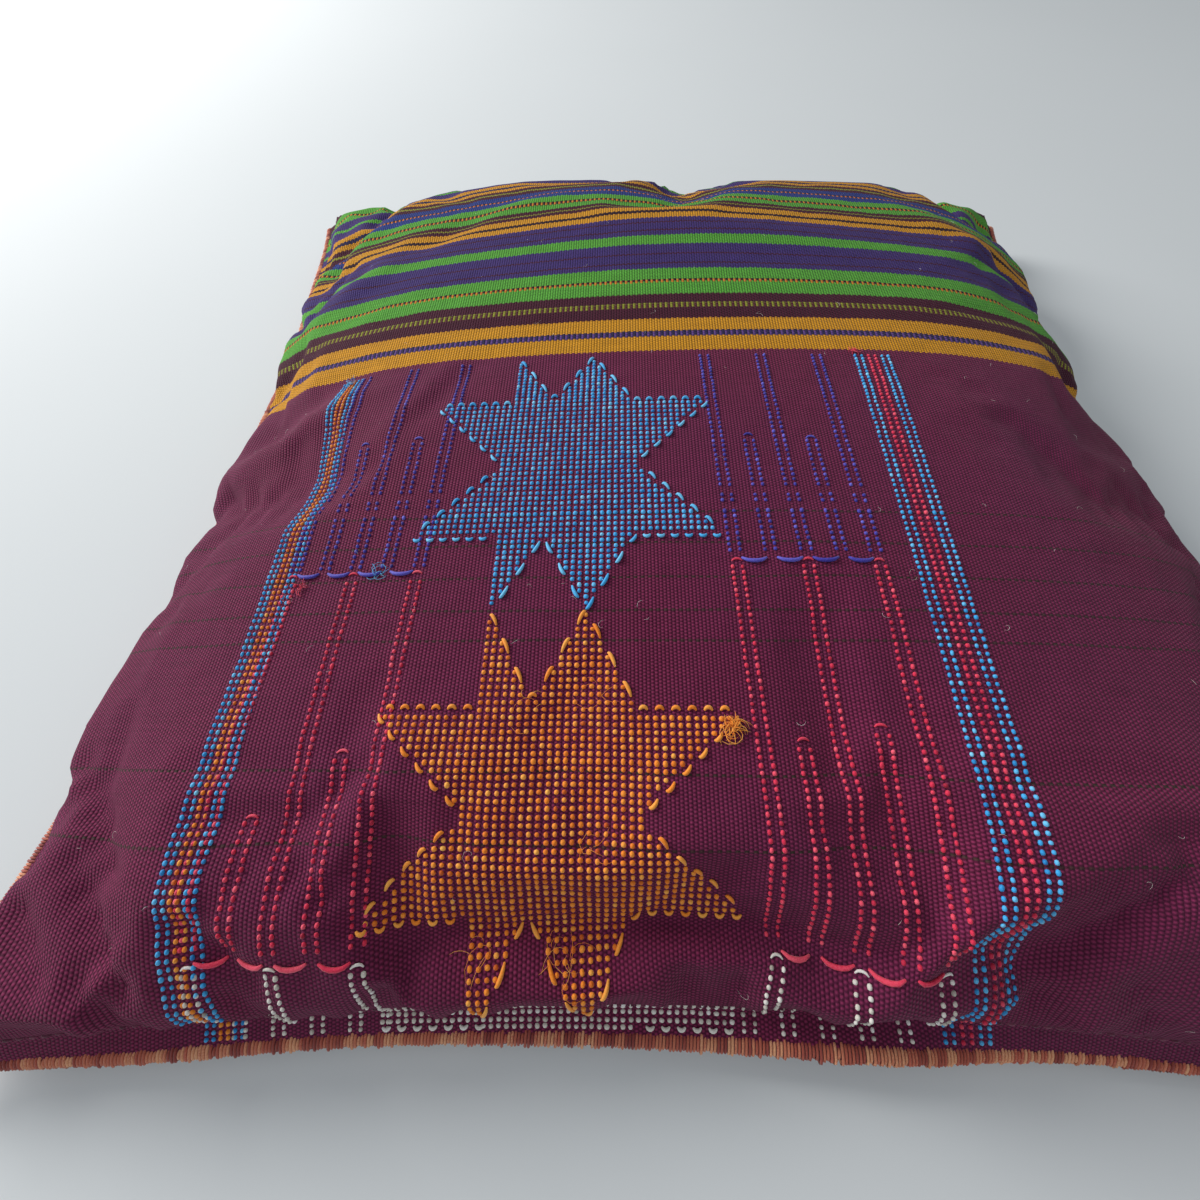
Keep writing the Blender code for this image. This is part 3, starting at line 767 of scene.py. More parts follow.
def bead_shape(sides=8, rings=3):
    """A unit bead with its poles at y = -1 and 1: points, quads and triangles."""
    turns = 2 * math.pi * np.arange(sides) / sides
    points = [(0.0, -1.0, 0.0)]
    for step in range(1, rings + 1):
        tilt = math.pi * step / (rings + 1)
        wide = math.sin(tilt) ** 0.75
        points += [(wide * math.cos(turn), -math.cos(tilt), wide * math.sin(turn)) for turn in turns]
    points.append((0.0, 1.0, 0.0))
    index = np.arange(rings * sides).reshape(rings, sides) + 1
    after = np.roll(index, -1, axis=1)
    quads = np.stack([index[:-1], after[:-1], after[1:], index[1:]], -1).reshape(-1, 4)[:, ::-1]
    last = rings * sides + 1
    front = np.stack([np.zeros(sides, int), index[0], after[0]], -1)
    back = np.stack([np.full(sides, last), after[-1], index[-1]], -1)
    return np.array(points), quads, np.concatenate([front, back])


BEAD_POINTS, BEAD_QUADS, BEAD_TRIANGLES = bead_shape()
BEAD_HEIGHT = 0.00070


def bead_arrays(beads):
    """Rounded floats of yarn on the cloth. Each bead is u, v, length and width."""
    beads = np.asarray(beads, float)
    count = len(beads)
    wander = rng.normal(0.0, 1.0, (count, 6))
    u = beads[:, 0] + wander[:, 0] * 0.00007
    v = beads[:, 1] + wander[:, 1] * 0.00008
    middle, tangent_u, tangent_v, normal = cover.frames(u, v)
    turn = wander[:, 2, None] * 0.10
    side = tangent_u * np.cos(turn) + tangent_v * np.sin(turn)
    ahead = np.cross(normal, side)
    length = beads[:, 2] * (1 + 0.08 * wander[:, 3]) / 2
    width = beads[:, 3] * (1 + 0.07 * wander[:, 4]) / 2
    height = BEAD_HEIGHT * np.clip(1 + 0.12 * wander[:, 5], 0.7, 1.3)
    points = middle[:, None] + normal[:, None] * 0.00006
    points = points + side[:, None] * (BEAD_POINTS[None, :, :1] * width[:, None, None])
    points = points + ahead[:, None] * (BEAD_POINTS[None, :, 1:2] * length[:, None, None])
    points = points + normal[:, None] * (BEAD_POINTS[None, :, 2:] * height[:, None, None])
    step = (np.arange(count) * len(BEAD_POINTS))[:, None, None]
    quads = (BEAD_QUADS[None] + step).reshape(-1, 4)
    triangles = (BEAD_TRIANGLES[None] + step).reshape(-1, 3)
    tones = np.repeat(np.clip(rng.normal(0.5, 0.16, count), 0.0, 1.0), len(BEAD_POINTS))
    return points.reshape(-1, 3), quads, triangles, tones


def laid(path, lift):
    """Points over the cloth along a path of u and v, with their normals."""
    path = np.asarray(path, float)
    points, _, _, normal = cover.frames(path[:, 0], path[:, 1])
    return points + normal * np.broadcast_to(lift, (len(path),))[:, None], normal


def arc(start, end, bulge, lift, steps=6):
    """A float from start to end that bows by bulge along v, raised in its middle."""
    share = np.linspace(0.0, 1.0, steps)
    u = start[0] + (end[0] - start[0]) * share
    v = start[1] + (end[1] - start[1]) * share + bulge * np.sin(math.pi * share) ** 0.6
    return laid(np.stack([u, v], -1), lift * np.sin(math.pi * np.clip(share, 0.08, 0.92)) ** 0.5)


def float_arrays(floats):
    """Horizontal floats of yarn. Each is start, end, bulge and radius."""
    paths, normals, radii, tones = [], [], [], []
    for start, end, bulge, radius in floats:
        path, normal = arc(start, end, bulge, radius * 0.75)
        paths.append(path)
        normals.append(normal)
        radii.append(radius * np.array((0.55, 0.92, 1.05, 1.05, 0.92, 0.55)))
        tones.append(rng.uniform(0.45, 0.85))
    return tubes(paths, radii, 8, 0.8, normals, tones)


def join_arrays(*sets):
    points, quads, triangles, tones, count = [], [], [], [], 0
    for more_points, more_quads, more_triangles, more_tones in sets:
        points.append(more_points)
        quads.append(more_quads + count)
        triangles.append(more_triangles + count)
        tones.append(more_tones)
        count += len(more_points)
    return np.concatenate(points), np.concatenate(quads), np.concatenate(triangles), np.concatenate(tones)


def add_yarn(name, finish, slot, *sets):
    points, quads, triangles, tones = join_arrays(*sets)
    mesh = new_mesh(name, points, quads, triangles)
    set_tone(mesh, tones)
    return add_piece(name, mesh, finish, "cushion", slot)


def row_place(row):
    return np.interp(row, MARKED_ROWS, MARKED_PLACES)


# Rows that the weaver skipped in the combs, and rows of longer floats.
SKIPPED = (75, 72)
LONG_ROWS = (71, 8, 33, 46)
BEAD_LENGTH = 0.00185
BEAD_WIDTH = 0.00175


def beads_between(u_of, first, last, width=BEAD_WIDTH, length=BEAD_LENGTH, skipped=()):
    """Beads down one line of the pattern, on the rows from first to last."""
    found = []
    for row in range(math.ceil(first), math.floor(last) + 1):
        if row in skipped:
            continue
        depth = float(row_place(row + 0.5))
        share = 1.18 if row in LONG_ROWS else 1.0
        found.append((u_of(depth), depth, length * share, width * share**0.5))
    return found


def column_middle(column):
    return STAR_MIDDLE + ((column + 0.5) / COLUMNS - 0.5) * STAR_WIDTH


def cap_end(column, row):
    return column_middle(column), float(row_place(row))


def star_runs():
    """The worked runs of a star's columns: column, first row and last row, counted from its front tips."""
    runs = []
    slope = 13.75 / 12.75
    for column in range(COLUMNS):
        if 13 <= column < 20:
            reach = min(12.5, 2 * (20 - column - 0.5))
            runs.append((column, 13 - reach, 41 + reach))
        elif 20 <= column < 33:
            reach = 13 * (1 - abs(column + 0.5 - 26.5) / 6.6)
            runs.append((column, 13 - reach, 41 + reach))
        else:
            inward = column + 0.5 if column < 13 else COLUMNS - column - 0.5
            near, far = 13 + inward * slope, 40.5 - inward * slope
            if far - near < 1:
                runs.append((column, 13, 40.5))
            else:
                runs += [(column, 13, near), (column, far, 40.5)]
    return runs


def make_star(name, start_row, finish, slot):
    runs = star_runs()
    beads, floats = [], []
    for column, first, last in runs:
        middle = column_middle(column)
        beads += beads_between(lambda depth, at=middle: at, start_row + first - 0.1, start_row + last - 0.9)
    for column, first, last in runs:
        for beside, other_first, other_last in runs:
            if beside != column + 1:
                continue
            if column % 2 and abs(last - other_last) < 3.5 and last > first:
                row, other_row = start_row + last + 0.1, start_row + other_last + 0.1
                ends = [cap_end(column, row), cap_end(beside, other_row)]
                floats.append((*ends, 0.0011, 0.00072))
            if column % 2 == 0 and abs(first - other_first) < 3.5:
                row, other_row = start_row + first - 0.1, start_row + other_first - 0.1
                ends = [cap_end(column, row), cap_end(beside, other_row)]
                floats.append((*ends, -0.0011, 0.00072))
    floats = [each for each in floats if each[0][1] > -HALF + 0.0012 and each[1][1] > -HALF + 0.0012]
    beads = [each for each in beads if each[1] > -HALF + 0.001]
    return add_yarn(name, finish, slot, bead_arrays(beads), float_arrays(floats))


COMB_PITCH = 0.0138
PAIR_GAP = 0.0040
# Each side's combs: the middle's u, its drift along v, the rows of the joins, and the tops of the short pairs.
COMBS = {
    "left": (-0.1415, 0.028, (62.0, 10.5), ((87, 87), (25.5, 34.0))),
    "right": (0.0435, -0.036, (63.5, 9.5), ((86, 85.5), (36.0, 38.0))),
}
COMB_TOP = 108.8
COMB_BEAD = 0.00150


def comb_line(middle, drift, pair, side):
    offset = (pair - 2) * COMB_PITCH + side * PAIR_GAP / 2
    return lambda depth: middle + offset + drift * (depth + 0.12)


def make_comb(name, middle, drift, bottom, top, short_tops, finish, slot, joined=True):
    beads, floats = [], []
    for pair in range(5):
        if pair % 2 and not short_tops:
            continue
        reach = short_tops[pair // 2] if pair % 2 else top
        lines = [comb_line(middle, drift, pair, side) for side in (-1, 1)]
        for line in lines:
            beads += beads_between(line, bottom, reach - 0.5, COMB_BEAD, BEAD_LENGTH * 0.95, SKIPPED)
        if reach < COMB_TOP - 1:
            depth = float(row_place(reach + 0.6))
            floats.append(((lines[0](depth), depth), (lines[1](depth), depth), 0.0009, 0.00048))
        if joined and pair < 4:
            depth = float(row_place(bottom - 0.5))
            following = comb_line(middle, drift, pair + 1, -1)
            floats.append(((lines[1](depth), depth), (following(depth), depth), -0.0016, 0.00085))
    beads = [each for each in beads if each[1] > -HALF + 0.001]
    sets = [bead_arrays(beads)]
    if floats:
        sets.append(float_arrays(floats))
    return add_yarn(name, finish, slot, *sets)


def make_band(name, middle, gap, pitch, pair_colours):
    """Three pairs of dotted lines that run the whole depth of the plain cloth."""
    for colour in sorted(set(pair_colours)):
        beads = []
        for place, dye in enumerate(pair_colours):
            if dye != colour:
                continue
            for side in (-1, 1):
                at = middle + (place - 1) * pitch + side * gap / 2
                beads += beads_between(lambda depth, at=at: at, 0.4, 108.5, 0.00145, BEAD_LENGTH * 0.95)
        add_yarn(f"{name}_{colour}", DYES[colour], "brocade", bead_arrays(beads))


FLANGE_ROW = 0.0023
FLANGE_FIRST = 0.0016


def make_flange_motifs():
    """The next repeat's rows, which show on the front flange."""
    white, blue, orange, red, floats = [], [], [], [], []

    def rows(at, count=5, width=COMB_BEAD):
        return [(at, -HALF - FLANGE_FIRST - row * FLANGE_ROW, 0.0016, width) for row in range(count)]

    for column in range(COLUMNS):
        tip = 13 <= column < 33
        white += rows(column_middle(column), 5 if tip else 4, BEAD_WIDTH)
        if not tip and column % 2 == 0 and column + 1 < COLUMNS:
            depth = -HALF - FLANGE_FIRST - 3.8 * FLANGE_ROW
            ends = (column_middle(column), depth), (column_middle(column + 1), depth)
            floats.append((*ends, -0.0008, 0.00070))
    for middle, _, _, _ in COMBS.values():
        for pair in range(5):
            for side in (-1, 1):
                white += rows(middle + (pair - 2) * COMB_PITCH + side * PAIR_GAP / 2)
    for middle, gap, pitch, inner in (BAND_LEFT, BAND_RIGHT):
        for place in (-1, 0, 1):
            for side in (-1, 1):
                group = blue if place else (orange if inner == "orange" else red)
                group += rows(middle + place * pitch + side * gap / 2)
    add_yarn("flange_white", DYES["white"], "brocade", bead_arrays(white), float_arrays(floats))
    for name, group in (("blue", blue), ("orange", orange), ("red", red)):
        add_yarn(f"flange_{name}", DYES[name], "brocade", bead_arrays(group))


# Each band's middle, gap in a pair, pitch of the pairs and colour of the middle pair.
BAND_LEFT = (-0.1745, 0.0026, 0.0050, "orange")
BAND_RIGHT = (0.0935, 0.0032, 0.0066, "red")

DYES = {
    "blue": yarn("yarn_blue", srgb("1474c0"), srgb("38aef2"), srgb("8adcff")),
    "orange": yarn("yarn_orange", srgb("c2500e"), srgb("f98c1e"), srgb("ffbe58")),
    "red": yarn("yarn_red", srgb("a01236"), srgb("e02a50"), srgb("ff6a80")),
    "purple": yarn("yarn_purple", srgb("241a6a"), srgb("4038a8"), srgb("7470e0")),
    "white": yarn("yarn_white", srgb("a9a298"), srgb("e4e0d6"), srgb("ffffff")),
}

calico = plain_cloth("calico_cloth", srgb("c9bfa6"), srgb("efe8d6"), 0.0006)
fibre = loose_fibre("fibre_filling")
bottom = make_bottom_surface()
make_cover()
make_bottom()
make_pad()
make_star("star_orange", 0.0, DYES["orange"], "brocade")
make_star("star_blue", 54.5, DYES["blue"], "brocade")
for place, (middle, drift, joins, shorts) in COMBS.items():
    make_comb(f"comb_purple_{place}", middle, drift, joins[0], COMB_TOP, shorts[0], DYES["purple"], "brocade")
    make_comb(f"comb_red_{place}", middle, drift, joins[1], joins[0] - 1.6, shorts[1], DYES["red"], "brocade")
    make_comb(f"comb_white_{place}", middle, drift, 0.0, joins[1] - 1.8, (), DYES["white"], "brocade", False)
make_band("band_left", *BAND_LEFT[:3], ("blue", "orange", "blue"))
make_band("band_right", *BAND_RIGHT[:3], ("blue", "red", "blue"))
make_flange_motifs()


# ---------------------------------------------------------------- the overcast edge and the seam's stitches

WRAP_PITCH = 0.00118
WRAP_REACH = 0.0024
WRAP_THREAD = 0.00056


def rim_path(steps_per_side):
    """u and v round the flange's rim, from the left rear corner by the front to the right rear corner."""
    outer = HALF + FLANGE
    down = np.linspace(HALF, -outer, steps_per_side)
    across = np.linspace(-outer, outer, steps_per_side)
    u = np.concatenate([np.full(steps_per_side, -outer), across[1:-1], np.full(steps_per_side, outer)])
    v = np.concatenate([down, np.full(steps_per_side - 2, -outer), down[::-1]])
    return u, v


def make_overcast():
    """Thread that wraps both plies of the flange, in loops side by side."""
    u, v = rim_path(240)
    points, tangent_u, tangent_v, normal = cover.frames(u, v)
    outward = np.where(
        (v <= -HALF - FLANGE + 1e-6)[:, None], -tangent_v, np.sign(u)[:, None] * tangent_u
    )
    middle = points - normal * (CLOTH + PLY_GAP / 2)
    length = np.concatenate([[0.0], np.cumsum(np.linalg.norm(np.diff(middle, axis=0), axis=1))])
    steps = 12
    wraps = int(length[-1] / WRAP_PITCH)
    along = np.linspace(0.0, length[-1], wraps * steps)
    turn = 2 * math.pi * np.arange(wraps * steps) / steps

    def spread(values):
        return np.stack([np.interp(along, length, values[:, axis]) for axis in range(3)], -1)

    thick = CLOTH + PLY_GAP / 2 + WRAP_THREAD * 0.75
    number = np.arange(wraps * steps) // steps
    reach = WRAP_REACH * (1 + 0.16 * rng.normal(0.0, 1.0, wraps + 1))[number]
    cosine, sine = np.cos(turn), np.sin(turn)
    out = np.sign(cosine) * np.abs(cosine) ** 0.8 * reach
    up = np.sign(sine) * np.abs(sine) ** 0.7 * thick
    path = spread(middle) + spread(outward) * (out - 0.0016)[:, None] + spread(normal) * up[:, None]
    path[:, 2] = np.maximum(path[:, 2], WRAP_THREAD)
    dye = np.repeat(rng.uniform(0.0, 1.0, wraps // 3 + 2), 3)[: wraps + 1]
    dye = np.clip(dye + rng.normal(0.0, 0.12, wraps + 1), 0.0, 1.0)
    points, quads, triangles, _ = tubes([path], [np.full(len(path), WRAP_THREAD)], 5, 1.0)
    tones = np.concatenate([np.repeat(dye[number], 5), [0.5, 0.5]])
    mesh = new_mesh("overcast_edge", points, quads, triangles)
    set_tone(mesh, tones)
    add_piece("overcast_edge", mesh, overcast_thread, "cushion", "overcast_thread", "edge_binding")


def make_seam_stitches():
    """Maroon stitches on the flange, just outside the seam."""
    off = HALF + 0.0014
    pitch = 0.0042
    places = np.arange(-HALF + 0.006, HALF - 0.004, pitch)
    beads = [(place, -off, 0.0009, 0.0028) for place in places]
    sides = [(side * off, place, 0.0028, 0.0009) for side in (-1, 1) for place in places]
    points, quads, triangles, tones = bead_arrays(beads + sides)
    mesh = new_mesh("seam_stitches", points, quads, triangles)
    set_tone(mesh, tones)
    add_piece("seam_stitches", mesh, seam_thread, "cushion", "brocade")


def overcast_finish():
    nodes = Nodes("overcast_yarn")
    place = nodes.object_place()
    strands = nodes.noise(place, 2200.0, 2.0)
    colour = nodes.ramp(nodes.math("MULTIPLY_ADD", nodes.math("SUBTRACT", strands, 0.5), 0.5, nodes.tone()), (
        (0.0, srgb("8e3a34")), (0.28, srgb("b85c48")), (0.55, srgb("cf7a5c")), (0.78, srgb("e9ad82")),
        (1.0, srgb("c2604c")),
    ))
    nodes.bump(strands, 0.0003, 0.6)
    return nodes.finish(colour, nodes.math("MULTIPLY_ADD", strands, 0.2, 0.7), Sheen_Weight=0.2)


overcast_thread = overcast_finish()
seam_thread = yarn("seam_yarn", srgb("3a0a20"), srgb("5c1e3a"), srgb("8a4a62"))
make_overcast()
make_seam_stitches()


# ---------------------------------------------------------------- loose yarn, fuzz and lint


def strand(u, v, turn, length, curl, lift, steps=7):
    """A loose fibre that leaves the cloth and comes back to it."""
    share = np.linspace(0.0, 1.0, steps)
    bend = turn + curl * share
    path = np.stack([u + length * share * np.cos(bend), v + length * share * np.sin(bend)], -1)
    path = np.clip(path, -HALF + 0.002, HALF - 0.002)
    return laid(path, 0.0004 + lift * np.sin(math.pi * share) ** 0.8)[0]


def make_fuzz(name, finish, slot, spots, radius, length, lift, spread):
    """Bundles of fibre: each spot is u, v and how many fibres."""
    paths, tones = [], []
    for u, v, count in spots:
        for _ in range(count):
            turn = rng.uniform(0.0, 2 * math.pi)
            at_u, at_v = u + rng.normal(0.0, spread), v + rng.normal(0.0, spread)
            reach = length * rng.uniform(0.5, 1.4)
            paths.append(strand(at_u, at_v, turn, reach, rng.normal(0.0, 1.8), lift * rng.uniform(0.3, 1.2)))
            tones.append(rng.uniform(0.35, 0.95))
    radii = [np.full(7, radius) * np.array((0.4, 1, 1, 1, 1, 0.8, 0.3)) for _ in paths]
    return add_yarn(name, finish, slot, tubes(paths, radii, 4, 1.0, None, tones))


star_spots = [
    (STAR_MIDDLE + off, v, 5)
    for off, v in ((-0.006, -0.155), (0.010, -0.205), (-0.022, -0.245), (0.014, -0.150))
]
make_fuzz("tuft_orange", DYES["orange"], "brocade", [(0.0072, -0.1640, 46)], 0.00013, 0.0050, 0.0016, 0.0010)
orange_spots = [*star_spots, (-0.0505, -0.2480, 10)]
make_fuzz("fuzz_orange", DYES["orange"], "brocade", orange_spots, 0.00007, 0.0070, 0.0012, 0.0030)
red_spots = [(0.0850, 0.0250, 16), (-0.1630, -0.1060, 14)]
blue_spots = [(-0.1300, -0.1010, 10), (-0.1740, 0.0200, 14)]
make_fuzz("tuft_red", DYES["red"], "brocade", red_spots, 0.00012, 0.0032, 0.0012, 0.0008)
make_fuzz("tuft_blue", DYES["blue"], "brocade", blue_spots, 0.00011, 0.0050, 0.0012, 0.0010)
scattered = rng.uniform((-0.25, -0.262), (0.25, 0.18), (110, 2))
make_fuzz("lint", DYES["white"], "brocade", [(u, v, 1) for u, v in scattered], 0.00004, 0.0028, 0.0005, 0.0)


# ---------------------------------------------------------------- the zip

TAPE_NEAR = 0.0031
TAPE_FAR = 0.0111
TAPE = 0.0006
TAPE_LEAN = 0.0022
TAPE_END = 0.2
ROW_NEAR = 0.0006
ROW_FAR = 0.0028
ROWS_END = 0.192
TOOTH_PITCH = 0.0020
STOP_LENGTH = 0.004
STOP_HALF_DEPTH = 0.0015
TOUCH_GAP = 0.0003
PIN_RADIUS = 0.0006
PIN_LENGTH = 0.0058
PULL_WIDTH = 0.0034
SLIDER_AT = 0.18725
HINGE_DEPTH = 0.2484


def rounded_box(build, low, high, radius, segments=2):
    """Adds a box with rounded edges to a bmesh."""
    low, high = Vector(low), Vector(high)
    made = bmesh.ops.create_cube(build, size=1.0)["verts"]
    for vert in made:
        vert.co = Vector([(a + b) / 2 + share * (b - a) for a, b, share in zip(low, high, vert.co)])
    edges = list({edge for vert in made for edge in vert.link_edges})
    bmesh.ops.bevel(build, geom=edges, offset=radius, segments=segments, affect="EDGES", profile=0.6)


def extruded(build, outline, near, far, axis, radius=0.0002):
    """Adds a plate with the given outline, between near and far along an axis, with its rims rounded."""
    def placed(first, second, depth):
        return (first, depth, second) if axis == "Y" else (first, second, depth)

    rims = [
        [build.verts.new(placed(first, second, depth)) for first, second in outline]
        for depth in (near, far)
    ]
    faces = [build.faces.new(rims[0]), build.faces.new(rims[1][::-1])]
    for index in range(len(outline)):
        after = (index + 1) % len(outline)
        faces.append(build.faces.new((rims[0][index], rims[1][index], rims[1][after], rims[0][after])))
    bmesh.ops.recalc_face_normals(build, faces=faces)
    edges = [edge for face in faces[:2] for edge in face.edges]
    bmesh.ops.bevel(build, geom=edges, offset=radius, segments=2, affect="EDGES", profile=0.6)


def finish_build(name, build, finish, body, slot, *nodes):
    bmesh.ops.recalc_face_normals(build, faces=build.faces)
    mesh = bpy.data.meshes.new(name)
    build.to_mesh(mesh)
    build.free()
    mesh.shade_smooth()
    mesh.set_sharp_from_angle(angle=math.radians(50))
    return add_piece(name, mesh, finish, body, slot, *nodes)


def oval(length, width, steps=28, waist=0.0):
    """An outline round the origin, narrower towards +x by waist."""
    outline = []
    for step in range(steps):
        turn = 2 * math.pi * step / steps
        x = length / 2 * math.copysign(abs(math.cos(turn)) ** 0.55, math.cos(turn))
        z = width / 2 * math.copysign(abs(math.sin(turn)) ** 0.55, math.sin(turn))
        outline.append((x, z * (1 - waist * (0.5 + x / length))))
    return outline


def corners_of(build, count):
    """The vertex indices of the faces that have this many corners."""
    return np.array([[vert.index for vert in face.verts] for face in build.faces if len(face.verts) == count])


def make_teeth():
    """Two rows of moulded teeth, each with a head that faces the other row."""
    template = bmesh.new()
    rounded_box(template, (-0.00058, -0.0012, 0.0), (0.00058, 0.0012, ROW_FAR - ROW_NEAR), 0.00028, 1)
    rounded_box(template, (-0.00036, -0.00062, -0.00001), (0.00036, 0.00062, 0.0009), 0.00012, 1)
    template.verts.index_update()
    shape = np.array([tuple(vert.co) for vert in template.verts])
    quads = corners_of(template, 4)
    triangles = corners_of(template, 3)
    template.free()
    for place, side, shift in (("upper", 1, 0.0), ("lower", -1, TOOTH_PITCH / 2)):
        spots = np.arange(-ROWS_END + 0.0008 + shift, ROWS_END - 0.0007, TOOTH_PITCH)
        root = np.array((0.0, ZIP_DEPTH, ZIP_HEIGHT + side * ROW_NEAR))
        points = shape[None] * np.array((1.0, 1.0, side)) + root
        points = points + np.stack([spots, 0 * spots, 0 * spots], -1)[:, None]
        step = (np.arange(len(spots)) * len(shape))[:, None, None]
        more = [(faces[None] + step).reshape(-1, faces.shape[1]) for faces in (quads, triangles)]
        if side < 0:
            more = [faces[:, ::-1] for faces in more]
        mesh = new_mesh(f"teeth_{place}", points.reshape(-1, 3), *more)
        mesh.set_sharp_from_angle(angle=math.radians(40))
        add_piece(f"teeth_{place}", mesh, tooth_plastic, "cushion", "zip_teeth", f"zip_teeth_{place}")


def make_tapes():
    """Woven tape beside each row of teeth, leaning in behind the cover's edge."""
    across = np.linspace(-TAPE_END, TAPE_END, 161)
    for place, side in (("upper", 1), ("lower", -1)):
        depth = np.linspace(TAPE_NEAR, TAPE_FAR, 9)
        x, out = np.meshgrid(across, depth)
        wave = 0.00006 * np.sin(x * 900.0) * smooth_step(0.004, 0.009, out)
        wave = wave - TAPE_LEAN * smooth_step(0.0058, TAPE_FAR, out)
        upper = np.stack([x, np.full_like(x, ZIP_DEPTH + TAPE / 2) + wave, ZIP_HEIGHT + side * out], -1)
        lower = upper - np.array((0.0, TAPE, 0.0))
        pair = (lower, upper) if side > 0 else (upper, lower)
        mesh = thick_sheet(f"tape_{place}", *pair, np.stack([x, out], -1))
        add_piece(f"tape_{place}", mesh, tape_weave, "cushion", "zip_tape", f"zip_tape_{place}")


def make_stops():
    start = ROWS_END + TOUCH_GAP
    for place, side in (("upper", 1), ("lower", -1)):
        heights = sorted((ZIP_HEIGHT + side * ROW_NEAR, ZIP_HEIGHT + side * ROW_FAR))
        build = bmesh.new()
        low = (start, ZIP_DEPTH - STOP_HALF_DEPTH, heights[0])
        high = (start + STOP_LENGTH, ZIP_DEPTH + STOP_HALF_DEPTH, heights[1])
        rounded_box(build, low, high, 0.0005, 3)
        finish_build(f"top_stop_{place}", build, zip_metal, "cushion", "zip_metal", f"zip_top_stop_{place}")
    build = bmesh.new()
    low = (-start - STOP_LENGTH, ZIP_DEPTH - STOP_HALF_DEPTH, ZIP_HEIGHT - ROW_FAR)
    rounded_box(build, low, (-start, ZIP_DEPTH + STOP_HALF_DEPTH, ZIP_HEIGHT + ROW_FAR), 0.0006, 3)
    finish_build("bottom_stop", build, zip_metal, "cushion", "zip_metal", "zip_bottom_stop")


def make_slider():
    """Two waisted plates joined by a web, with lips over the tapes and a bridge for the pull's pin."""
    build = bmesh.new()
    plate = [(x + SLIDER_AT, z + ZIP_HEIGHT) for x, z in oval(0.0094, 0.0085, 32, 0.10)]
    extruded(build, plate, ZIP_DEPTH + 0.0016, ZIP_DEPTH + 0.0026, "Y", 0.00028)
    extruded(build, plate, ZIP_DEPTH - 0.0026, ZIP_DEPTH - 0.0016, "Y", 0.00028)
    low = (SLIDER_AT - 0.0030, ZIP_DEPTH - 0.0020, ZIP_HEIGHT - 0.00025)
    rounded_box(build, low, (SLIDER_AT + 0.0030, ZIP_DEPTH + 0.0020, ZIP_HEIGHT + 0.00025), 0.0001, 1)
    for side in (-1, 1):
        heights = sorted((ZIP_HEIGHT + side * 0.0033, ZIP_HEIGHT + side * 0.0041))
        for near, far in ((0.0008, 0.0020), (-0.0020, -0.0008)):
            low = (SLIDER_AT - 0.0036, ZIP_DEPTH + near, heights[0])
            rounded_box(build, low, (SLIDER_AT + 0.0034, ZIP_DEPTH + far, heights[1]), 0.0002, 2)
        heights = sorted((ZIP_HEIGHT + side * 0.0022, ZIP_HEIGHT + side * 0.0032))
        low = (SLIDER_AT - 0.0015, ZIP_DEPTH + 0.0022, heights[0])
        rounded_box(build, low, (SLIDER_AT + 0.0015, ZIP_DEPTH + 0.0057, heights[1]), 0.00045, 3)
    place = Matrix.Translation((SLIDER_AT, HINGE_DEPTH, ZIP_HEIGHT))
    rod = {"radius1": PIN_RADIUS, "radius2": PIN_RADIUS, "depth": PIN_LENGTH}
    bmesh.ops.create_cone(build, cap_ends=True, segments=20, matrix=place, **rod)
    finish_build("slider", build, zip_metal, "slider", "zip_metal", "zip_slider")


def make_pull():
    """A tapered tab with an eye round the pin."""
    half = PULL_WIDTH / 2
    waist = ((0.0010, 0.36), (0.0040, 0.30), (0.0075, 0.36))
    outline = [*((x, -PULL_WIDTH * share) for x, share in waist), (0.0180, -half)]
    for turn in np.linspace(-1.1, 1.1, 9):
        outline.append((0.0236 - 0.0014 * (1 - math.cos(turn)), half * math.sin(turn)))
    outline += [(x, -z) for x, z in reversed(outline[:4])]
    build = bmesh.new()
    placed = [(x + SLIDER_AT, z + ZIP_HEIGHT) for x, z in outline]
    extruded(build, placed, HINGE_DEPTH - 0.0006, HINGE_DEPTH + 0.0006, "Y", 0.0003)
    steps = 24
    rings = []
    for radius, depth in ((0.0009, -0.0013), (0.0009, 0.0013), (0.0015, 0.0013), (0.0015, -0.0013)):
        rings.append([
            build.verts.new((
                SLIDER_AT + radius * math.cos(2 * math.pi * step / steps),
                HINGE_DEPTH + radius * math.sin(2 * math.pi * step / steps),
                ZIP_HEIGHT + depth,
            ))
            for step in range(steps)
        ])
    for first, second in zip(rings, rings[1:] + rings[:1]):
        for step in range(steps):
            after = (step + 1) % steps
            build.faces.new((first[step], first[after], second[after], second[step]))
    finish_build("pull_tab", build, pull_metal, "pull", "pull_metal", "zip_pull_tab")


def metal(name, base, worn):
    nodes = Nodes(name)
    place = nodes.object_place()
    scuffs = nodes.noise(place, 900.0, 4.0, 0.6)
    tarnish = nodes.noise(place, 220.0, 3.0)
    colour = nodes.blend(tarnish, base, worn)
    nodes.bump(scuffs, 0.0001, 0.25)
    return nodes.finish(colour, nodes.math("MULTIPLY_ADD", scuffs, 0.25, 0.22), Metallic=1.0)


def moulded(name, base, worn):
    nodes = Nodes(name)
    grain = nodes.noise(nodes.object_place(), 1500.0, 3.0)
    nodes.bump(grain, 0.0001, 0.2)
    return nodes.finish(nodes.blend(grain, base, worn), nodes.math("MULTIPLY_ADD", grain, 0.2, 0.38))


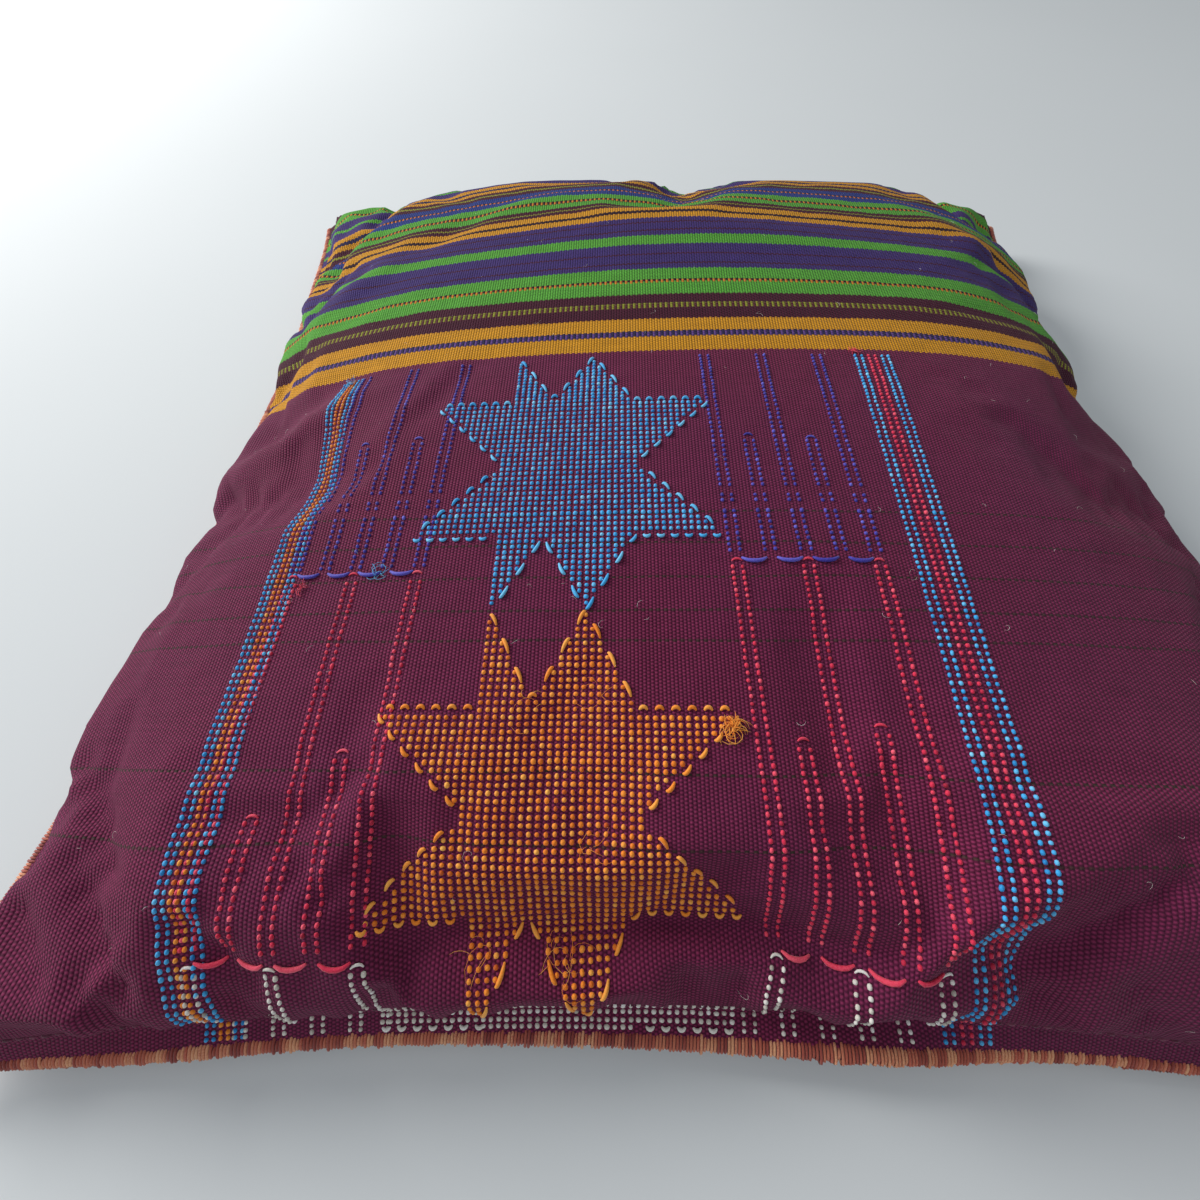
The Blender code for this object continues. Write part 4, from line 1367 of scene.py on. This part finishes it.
tape_weave = plain_cloth("tape_weave", srgb("3c0b22"), srgb("6a2444"), 0.00045)
tooth_plastic = moulded("tooth_plastic", srgb("4a1230"), srgb("6e2c4a"))
zip_metal = metal("slider_alloy", srgb("a89a78"), srgb("d8cca8"))
pull_metal = metal("pull_alloy", srgb("b0a078"), srgb("e0d2a6"))
make_teeth()
make_tapes()
make_stops()
make_slider()
make_pull()


# ---------------------------------------------------------------- floor, light and camera


FLOOR_HALF_WIDTH = 6.0


def make_floor():
    mesh = flat_square("floor", FLOOR_HALF_WIDTH)
    nodes = Nodes("floor_paint")
    mottle = nodes.noise(nodes.object_place(), 3.0, 2.0)
    colour = nodes.blend(mottle, srgb("e0e5e8"), srgb("e4e9ec"))
    mesh.materials.append(nodes.finish(colour, 0.9, Specular_IOR_Level=0.1))
    floor = bpy.data.objects.new("floor", mesh)
    bpy.context.scene.collection.objects.link(floor)


def make_light(name, place, size, power, colour):
    lamp = bpy.data.lights.new(name, "AREA")
    lamp.shape = "DISK"
    lamp.size = size
    lamp.energy = power
    lamp.color = colour
    obj = bpy.data.objects.new(name, lamp)
    obj.location = place
    obj.rotation_euler = (-Vector(place)).to_track_quat("-Z", "Y").to_euler()
    bpy.context.scene.collection.objects.link(obj)


def make_world(strength):
    world = bpy.data.worlds.new("studio")
    world.use_nodes = True
    background = world.node_tree.nodes["Background"]
    background.inputs["Color"].default_value = (0.93, 0.97, 1.0, 1.0)
    background.inputs["Strength"].default_value = strength
    bpy.context.scene.world = world


def make_camera(place, yaw, pitch, roll, lens):
    """Yaw turns to the right of +Y, pitch looks down, and roll tips the frame."""
    ahead = Vector((math.sin(yaw) * math.cos(pitch), math.cos(yaw) * math.cos(pitch), -math.sin(pitch)))
    level = Vector((math.cos(yaw), -math.sin(yaw), 0.0))
    above = level.cross(ahead)
    right = math.cos(roll) * level + math.sin(roll) * above
    up = math.cos(roll) * above - math.sin(roll) * level
    camera = bpy.data.objects.new("camera", bpy.data.cameras.new("camera"))
    camera.data.sensor_width = 36.0
    camera.data.lens = lens
    camera.data.clip_start = 0.01
    camera.matrix_world = Matrix.Translation(place) @ Matrix((right, up, -ahead)).transposed().to_4x4()
    bpy.context.scene.collection.objects.link(camera)
    bpy.context.scene.camera = camera


make_floor()
make_world(0.36)
make_light("window", (-2.0, 1.05, 1.0), 1.1, 62.0, (1.0, 0.98, 0.95))
make_light("fill", (-0.7, -1.2, 1.4), 1.2, 3.0, (0.94, 0.97, 1.0))
make_camera((-0.0353, -0.2038, 0.2386), -0.0381, 1.0827, -0.0221, 15.0)
bpy.context.scene.view_settings.view_transform = "Standard"
